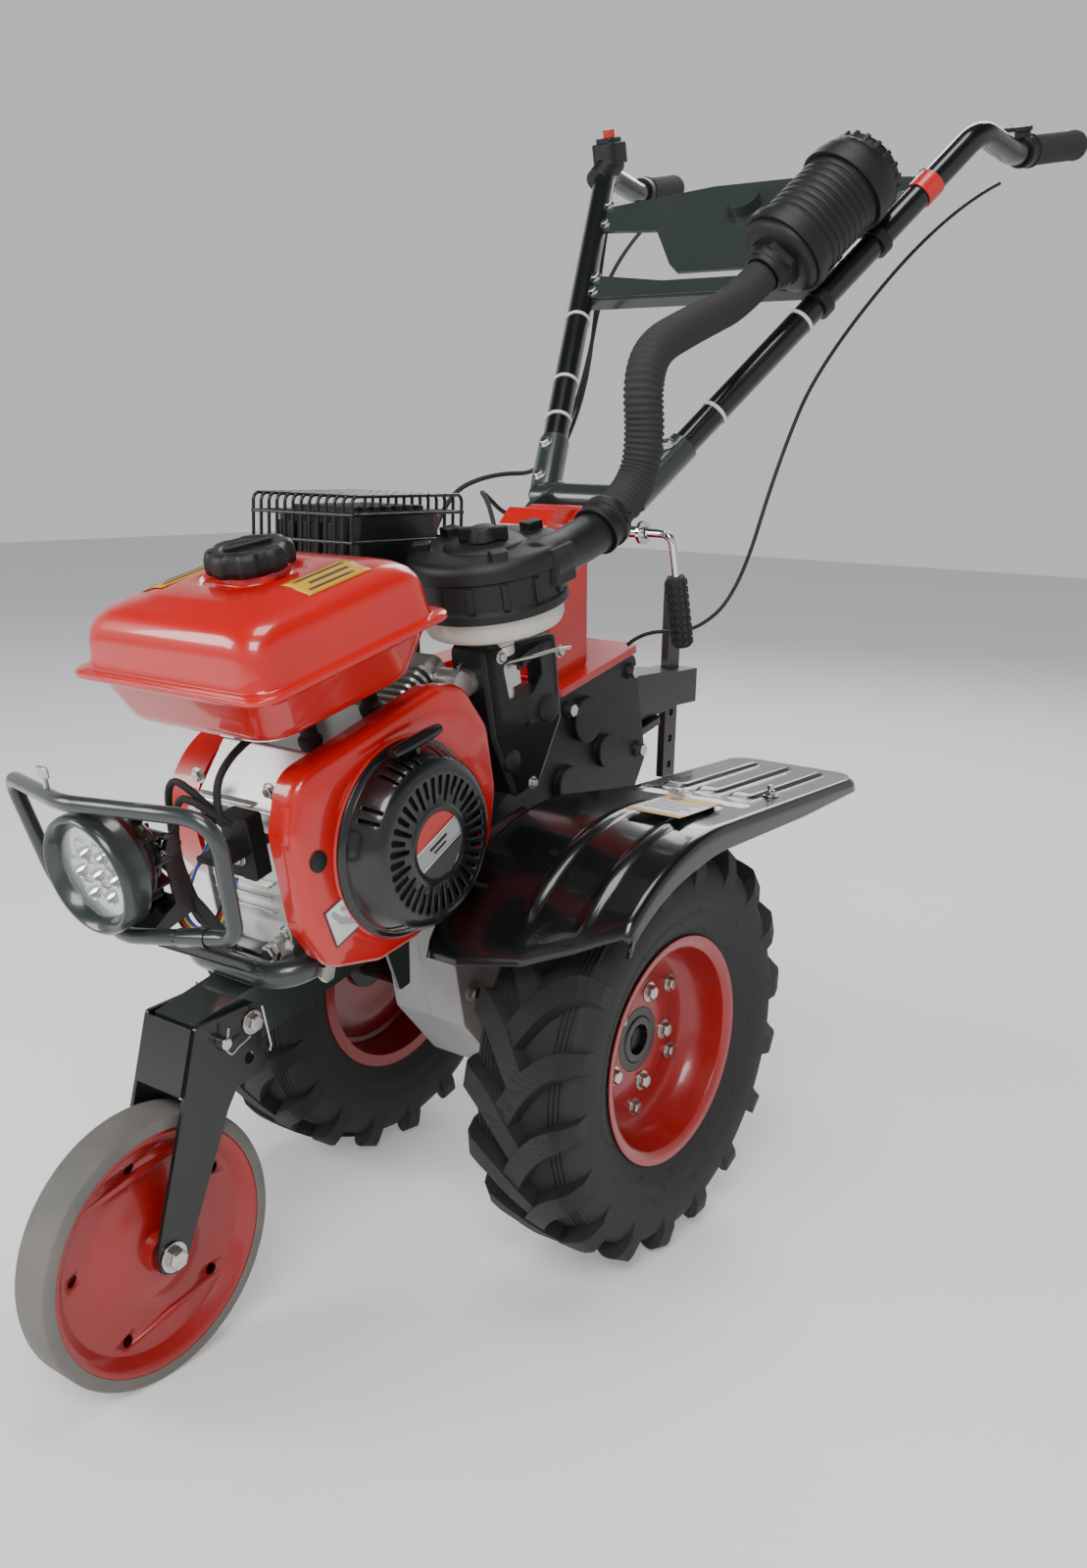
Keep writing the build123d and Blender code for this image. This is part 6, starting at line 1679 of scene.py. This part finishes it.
# -------------------------------------------------------------------------------------- handlebar
@dataclass
class Handlebar:
    """Tubes, grips, plate bolts, ties, pre-cleaner and controls."""

    shop: Shop
    grip_start: Point = (254.7, 807.6, 738.0)
    grip_end: Point = (280.1, 947.0, 731.8)

    def flip(self, p: Point, side: int) -> Point:
        """A point, or its mirror on the belt side."""
        return (p[0] * side, p[1], p[2])

    def along_grip(self, distance: float, side: int) -> Point:
        """A place along a grip tube."""
        run = (Vector(self.grip_end) - Vector(self.grip_start)).normalized()
        return self.flip(tuple(Vector(self.grip_start) + run * distance), side)

    def build(self) -> None:
        """All of it."""
        tubes, grips, ties = Form(), Form(), Form()
        for side in (1, -1):
            corners = [
                tube_point(92, side), tube_point(668, side), self.flip(self.grip_start, side),
                self.along_grip(132, side)
            ]
            tubes.rod(bend_run(corners, [45, 60], 14), 14, 32)
            start, end = Vector(self.along_grip(34, side)), Vector(self.along_grip(141.8, side))
            axis = tuple(end - start)
            length = (end - start).length
            profile = [(0, 14.2), (0, 19), (3, 19), (4, 16)]
            ribs = 13
            for k in range(ribs):
                a = 5 + (length - 16) * k / ribs
                step = (length - 16) / ribs
                profile += [(a, 15.6), (a + step * 0.25, 16.8), (a + step * 0.75, 16.8), (a + step, 15.6)]
            profile += [(length - 9, 17.4), (length - 3, 17.4), (length - 0.6, 15.6), (length, 12), (length, 0)]
            grips.lathe(profile, tuple(start), axis, 48)
            for distance in ((214, 356) if side > 0 else (200, 262, 372)):
                a, b = tube_point(distance, side), tube_point(distance + 4, side)
                ties.tint = 0
                ties.lathe([(0, 14), (0, 15.2), (4, 15.2), (4, 14)], a, tuple(Vector(b) - Vector(a)), 32)
        self.shop.make("bar_tubes", tubes, "handlebar", "black_paint", [Look.FENDER], ["handlebar_tubes"], 0.0)
        self.shop.make("bar_grips", grips, "handlebar", "soft_rubber", [Look.RUBBER], ["grips"], 0.4)
        self.shop.make("cable_ties", ties, "handlebar", "matt_black", [Look.WHITE], (), 0.0)
        self.precleaner()
        self.fittings()
        self.clamp()

    def precleaner(self) -> None:
        """The ribbed canister, its hexagon neck and its two bands."""
        low = Vector(tube_point(372, 1, 66, -20))
        axis = Vector(tube_point(512, 1, 66, -20)) - low
        form = Form()
        profile = [(0, 25), (0, 38), (4, 44.5), (8, 46.4), (20, 46.6)]
        for k in range(8):
            a = 34 + k * 9
            profile += [(a, 46.6), (a + 1, 44.6), (a + 3, 44.6), (a + 4, 46.6)]
        profile += [
            (112, 46.6), (114, 49), (128, 49.4), (137, 48), (141, 45), (141, 42), (148, 41), (153, 40),
            (156, 37), (156, 30), (152, 28), (152, 0)
        ]
        form.lathe(profile, tuple(low), tuple(axis), 72)
        form.lathe([(-22, 20), (-22, 24), (-16, 24.4), (-15, 26), (-6, 26)], tuple(low), tuple(axis), 40)
        form.lathe([(-8, 26), (-8, 29.5), (1, 30), (1, 26)], tuple(low), tuple(axis), 6)
        run = axis.normalized()
        for k in range(18):
            a = TAU * k / 18
            u = Vector((1, 0, 0)).cross(run).normalized()
            v = run.cross(u)
            out = u * math.cos(a) + v * math.sin(a)
            spot = low + run * 148 + out * 40.5
            form.block(tuple(spot), (4, 5, 12), 1.2, tuple(out), tuple(run.cross(out)))
        self.shop.make("canister", form, "handlebar", "matt_black", [Look.MATT], ["precleaner"], 0.6)

    def fittings(self) -> None:
        """Bolts on the plates, the red strap and the switch."""
        bolts = Form()
        for distance in (420, 446, 552, 590):
            for side in (1, -1):
                a = Vector(tube_point(distance, side, 2, -15))
                lift = Vector(tube_point(distance, side, 12, -15)) - a
                bolts.bolt(tuple(a), tuple(lift), 6)
        for side in (1, -1):
            bolts.bolt((side * 39.4, 272, 474), (side, 0, 0), 7)
            bolts.bolt(tube_point(100, side, 17, 0), (0, -0.55, 0.83), 6)
            bolts.bolt(tube_point(150, side, 17, 0), (0, -0.55, 0.83), 6)
        self.shop.make("plate_bolts", bolts, "handlebar", "zinc", [Look.ZINC], (), 0.25)
        box = Form()
        knee = Vector(tube_point(668, -1)) + Vector((0, 10, 8))
        box.block(tuple(knee + Vector((0, 4, 16))), (34, 40, 26), 9)
        box.block(tuple(knee + Vector((0, 4, 31))), (26, 30, 9), 8)
        box.rod([tuple(knee + Vector((0, -30, -16))), tuple(knee + Vector((0, 10, 6)))], 17, 28)
        self.shop.make("switch_body", box, "handlebar", "matt_black", [Look.MATT], ["switch_box"], 1.5)
        strap = Form()
        a, b = tube_point(560, 1), tube_point(584, 1)
        strap.lathe([(0, 14.2), (0, 16), (24, 16), (24, 14.2)], a, tuple(Vector(b) - Vector(a)), 32)
        self.shop.make("red_strap", strap, "handlebar", "red_plastic", [Look.BUTTON], (), 0.4)

    def clamp(self) -> None:
        """The chrome clamp rod, its nut and its studded grip."""
        y, z = 213.0, 449.0
        rod = Form()
        rod.rod(bend_run([(-52, y, z), (135, y, z), (135, y + 4, z - 112)], [12]), 4.5, 20)
        rod.lathe([(0, 8), (110, 8), (110, 6), (152, 6)], (-46, y, z), (1, 0, 0), 32)
        for k in range(24):
            a = TAU * k / 24
            rod.block((68 + 0, y + 8.6 * math.cos(a), z + 8.6 * math.sin(a)), (14, 1.4, 1.4), 0.3)
        rod.lathe([(0, 4.6), (0, 12), (4, 12), (4, 4.6)], (100, y, z), (1, 0, 0), 40)
        for x in (39.6, -43.2):
            rod.lathe([(0, 8), (0, 13), (3.4, 13), (3.4, 8)], (x, y, z), (1, 0, 0), 32)
        rod.bolt((-46, y, z), (-1, 0, 0), 9)
        self.shop.make("clamp_rod", rod, "handle_clamp", "chrome", [Look.CHROME], ["clamp_lever"], 0.3)
        grip = Form()
        top, low = Vector((135, y + 1.6, z - 44)), Vector((135, y + 4.1, z - 118))
        grip.lathe([(0, 4.6), (0, 9.0), (2, 9.6), (72, 9.6), (74, 8.4), (74, 0)], tuple(top), tuple(low - top), 32)
        run = (low - top).normalized()
        for ring in range(9):
            for k in range(10):
                a = TAU * k / 10
                out = Vector((math.cos(a), math.sin(a), 0))
                spot = top + run * (6 + ring * 7.8) + out * 10.0
                grip.block(tuple(spot), (2.4, 4.2, 5.2), 0.6, tuple(out), tuple(run.cross(out)))
        self.shop.make("clamp_grip", grip, "handle_clamp", "soft_rubber", [Look.RUBBER], (), 0.4)


@dataclass
class HoseAndCables:
    """The corrugated intake hose and the control cables."""

    shop: Shop

    def bent(self, piece: bpy.types.Object) -> None:
        """Bakes a piece's placement into its mesh; the piece rides on no body."""
        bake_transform(piece)

    def build(self) -> None:
        """Hose, its cuff and three cables."""
        lead, end = tube_point(306, 1, 66, -20), tube_point(349.4, 1, 66, -20)
        route = [
            (141, 74, 489.5), (141.6, 104, 498), (146, 148, 520), (151, 158, 560), (150, 162, 606),
            (146, 190, 634), (140, 262, 640), (126, 330, 640), lead, end
        ]
        line = even(flow(route, 40), 1.15)
        hose = Form()
        count = len(line) - 1

        def girth(share: float) -> float:
            """Radius of the corrugated wall."""
            place = share * count
            if share < 0.03 or share > 0.985:
                return 18.4
            return 17.2 + 1.6 * smooth(0.5 + 0.9 * math.cos(place * TAU / 5))

        hose.rod(line, girth, 36, False)
        piece = self.shop.make(
            "ribbed_hose", hose, "", "soft_rubber", [Look.RUBBER], ["intake_hose"], 0.0, 0.0, 0, 80.0
        )
        self.bent(piece)
        cuff = Form()
        a = Vector((141.2, 76, 490))
        b = Vector((142, 104, 498))
        cuff.lathe(
            [(0, 21), (0, 24), (5, 24), (6, 23), (14, 23), (15, 25.4), (22, 25.4), (23, 23), (28, 22), (29, 19)],
            tuple(a), tuple(b - a), 48
        )
        cuff.block(tuple(a.lerp(b, 0.6) + Vector((24, 0, 6))), (10, 8, 7), 1.5)
        self.shop.make("hose_clamp", cuff, "chassis", "matt_black", [Look.MATT], (), 0.5)
        routes = {
            "clutch_cable": (
                2.6, Look.RUBBER,
                [
                    (-244.8, 800, 690), (-205, 640, 655), (-132, 470, 548), (-112, 350, 470), (-100, 230, 500),
                    (-84, 130, 500), (-84, 62, 400), (-87, 60, 342)
                ]
            ),
            "throttle_cable": (
                2.4, Look.RUBBER,
                [
                    (-234, 700, 706), (-196, 610, 640), (-120, 450, 530), (-118, 340, 450), (-92, 250, 440),
                    (-52, 150, 508), (-4, 110, 500), (40, 60, 432), (72, 22, 396), (72, -1.7, 392)
                ]
            ),
            "shift_cable": (
                2.1, Look.MATT,
                [
                    (238.8, 812, 706), (222, 690, 690), (150, 520, 560), (140, 430, 470), (120, 360, 340),
                    (96, 300, 312), (60, 262, 326), (44, 250, 311)
                ]
            ),
        }
        first = True
        for name, (radius, look, path) in routes.items():
            form = Form()
            form.rod(even(flow(path, 16), 6), radius, 12)
            piece = self.shop.make(name, form, "", "soft_rubber", [look], ["control_cables"] if first else (), 0.0)
            first = False
            self.bent(piece)


# -------------------------------------------------------------------------------------- the studio
@dataclass(frozen=True)
class Studio:
    """Floor, lights and camera."""

    floor: float = 9.0
    floor_glow: float = 0.30
    pale_to: float = 0.34
    dark_from: float = 0.62
    air_strength: float = 0.62
    lamps: tuple[tuple[str, Point, float, float], ...] = (
        ("key_light", (1.6, -2.6, 2.9), 1.6, 95.0),
        ("front_light", (-2.2, -2.8, 1.9), 1.4, 60.0),
        ("back_light", (-1.0, 2.8, 2.6), 1.8, 55.0),
        ("top_light", (0.3, -0.4, 3.4), 1.2, 34.0),
    )
    camera_at: Point = (0.9203, -1.2739, 0.7751)
    yaw: float = math.radians(38.7)
    pitch: float = math.radians(-11.5)
    roll: float = math.radians(1.1)
    lens: float = 34.35
    shift: Flat = (0.0446, -0.0208)

    def build(self) -> None:
        """Sets the whole studio up."""
        self.camera()
        self.ground()
        for name, at, size, power in self.lamps:
            self.light(name, at, size, power)
        self.air()

    def air(self) -> None:
        """Pale at eye height and dark overhead, so that level surfaces stay deep."""
        world = bpy.data.worlds.new("studio_air")
        world.use_nodes = True
        tree = world.node_tree
        back = tree.nodes["Background"]
        place = tree.nodes.new("ShaderNodeTexCoord")
        split = tree.nodes.new("ShaderNodeSeparateXYZ")
        ramp = tree.nodes.new("ShaderNodeValToRGB")
        tree.links.new(place.outputs["Generated"], split.inputs[0])
        tree.links.new(split.outputs["Z"], ramp.inputs[0])
        tree.links.new(ramp.outputs[0], back.inputs[0])
        low, high = ramp.color_ramp.elements
        low.position, high.position = self.pale_to, self.dark_from
        low.color = (1.0, 1.0, 1.0, 1.0)
        high.color = (0.10, 0.105, 0.11, 1.0)
        back.inputs[1].default_value = self.air_strength
        bpy.context.scene.world = world

    def camera(self) -> None:
        """The camera at the first view's place and angle."""
        yaw, pitch, roll = self.yaw, self.pitch, self.roll
        forward = Vector((-math.sin(yaw) * math.cos(pitch), math.cos(yaw) * math.cos(pitch), math.sin(pitch)))
        right = Vector((math.cos(yaw), math.sin(yaw), 0))
        up = right.cross(forward)
        right, up = right * math.cos(roll) + up * math.sin(roll), up * math.cos(roll) - right * math.sin(roll)
        data = bpy.data.cameras.new("camera")
        data.lens = self.lens
        data.sensor_width = 36.0
        data.sensor_fit = "AUTO"
        data.shift_x, data.shift_y = self.shift
        holder = bpy.data.objects.new("camera", data)
        turn = Matrix((right, up, -forward)).transposed().to_4x4()
        holder.matrix_world = Matrix.Translation(self.camera_at) @ turn
        bpy.context.scene.collection.objects.link(holder)
        bpy.context.scene.camera = holder

    def light(self, name: str, at: Point, size: float, power: float) -> None:
        """One soft square light aimed at the machine."""
        data = bpy.data.lights.new(name, "AREA")
        data.size = size
        data.energy = power
        holder = bpy.data.objects.new(name, data)
        holder.location = at
        aim = Vector((0, 0, 0.45)) - Vector(at)
        holder.rotation_euler = aim.to_track_quat("-Z", "Y").to_euler()
        bpy.context.scene.collection.objects.link(holder)

    def ground(self) -> None:
        """A plain pale floor."""
        s = Shader("pale_floor")
        material = s.surface({"Base Color": s.mix(s.noise(3.0), (0.80, 0.80, 0.80), (0.83, 0.83, 0.83)), "Roughness": 0.85, "Emission Color": (0.82, 0.82, 0.82, 1.0), "Emission Strength": self.floor_glow})
        mesh = bpy.data.meshes.new("floor")
        work = bmesh.new()
        bmesh.ops.create_grid(work, x_segments=8, y_segments=8, size=self.floor)
        work.to_mesh(mesh)
        work.free()
        mesh.materials.append(material)
        floor = bpy.data.objects.new("floor", mesh)
        floor.location.z = -0.0005
        bpy.context.scene.collection.objects.link(floor)


def main() -> None:
    """Builds every sub-assembly in order."""
    logging.basicConfig(level=logging.INFO, format="%(name)s %(message)s")
    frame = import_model()
    shop = Shop(frame)
    shop.dress_frame({
        "drive_axle": Look.CASE_DARK,
        "handle_panels": Look.GREY,
        "engine_plate": Look.GREY,
        "chassis_frame": Look.GREY,
        "headlamp_bracket": Look.BLACK,
        "side_panel": Look.MATT,
        "switch_box": Look.MATT,
        "belt_cover": Look.RED,
    })
    RunningGear(shop).build()
    NoseWheel(shop).build()
    Fender(shop, 1).build()
    Fender(shop, -1).build()
    FuelTank(shop).build()
    Starter(shop).build()
    AirCleaner(shop).build()
    EngineDetails(shop).build()
    LampAndGuard(shop).build()
    Handlebar(shop).build()
    HoseAndCables(shop).build()
    Studio().build()
    log.info("made %d pieces", len(shop.made))


if __name__ == "__main__":
    main()
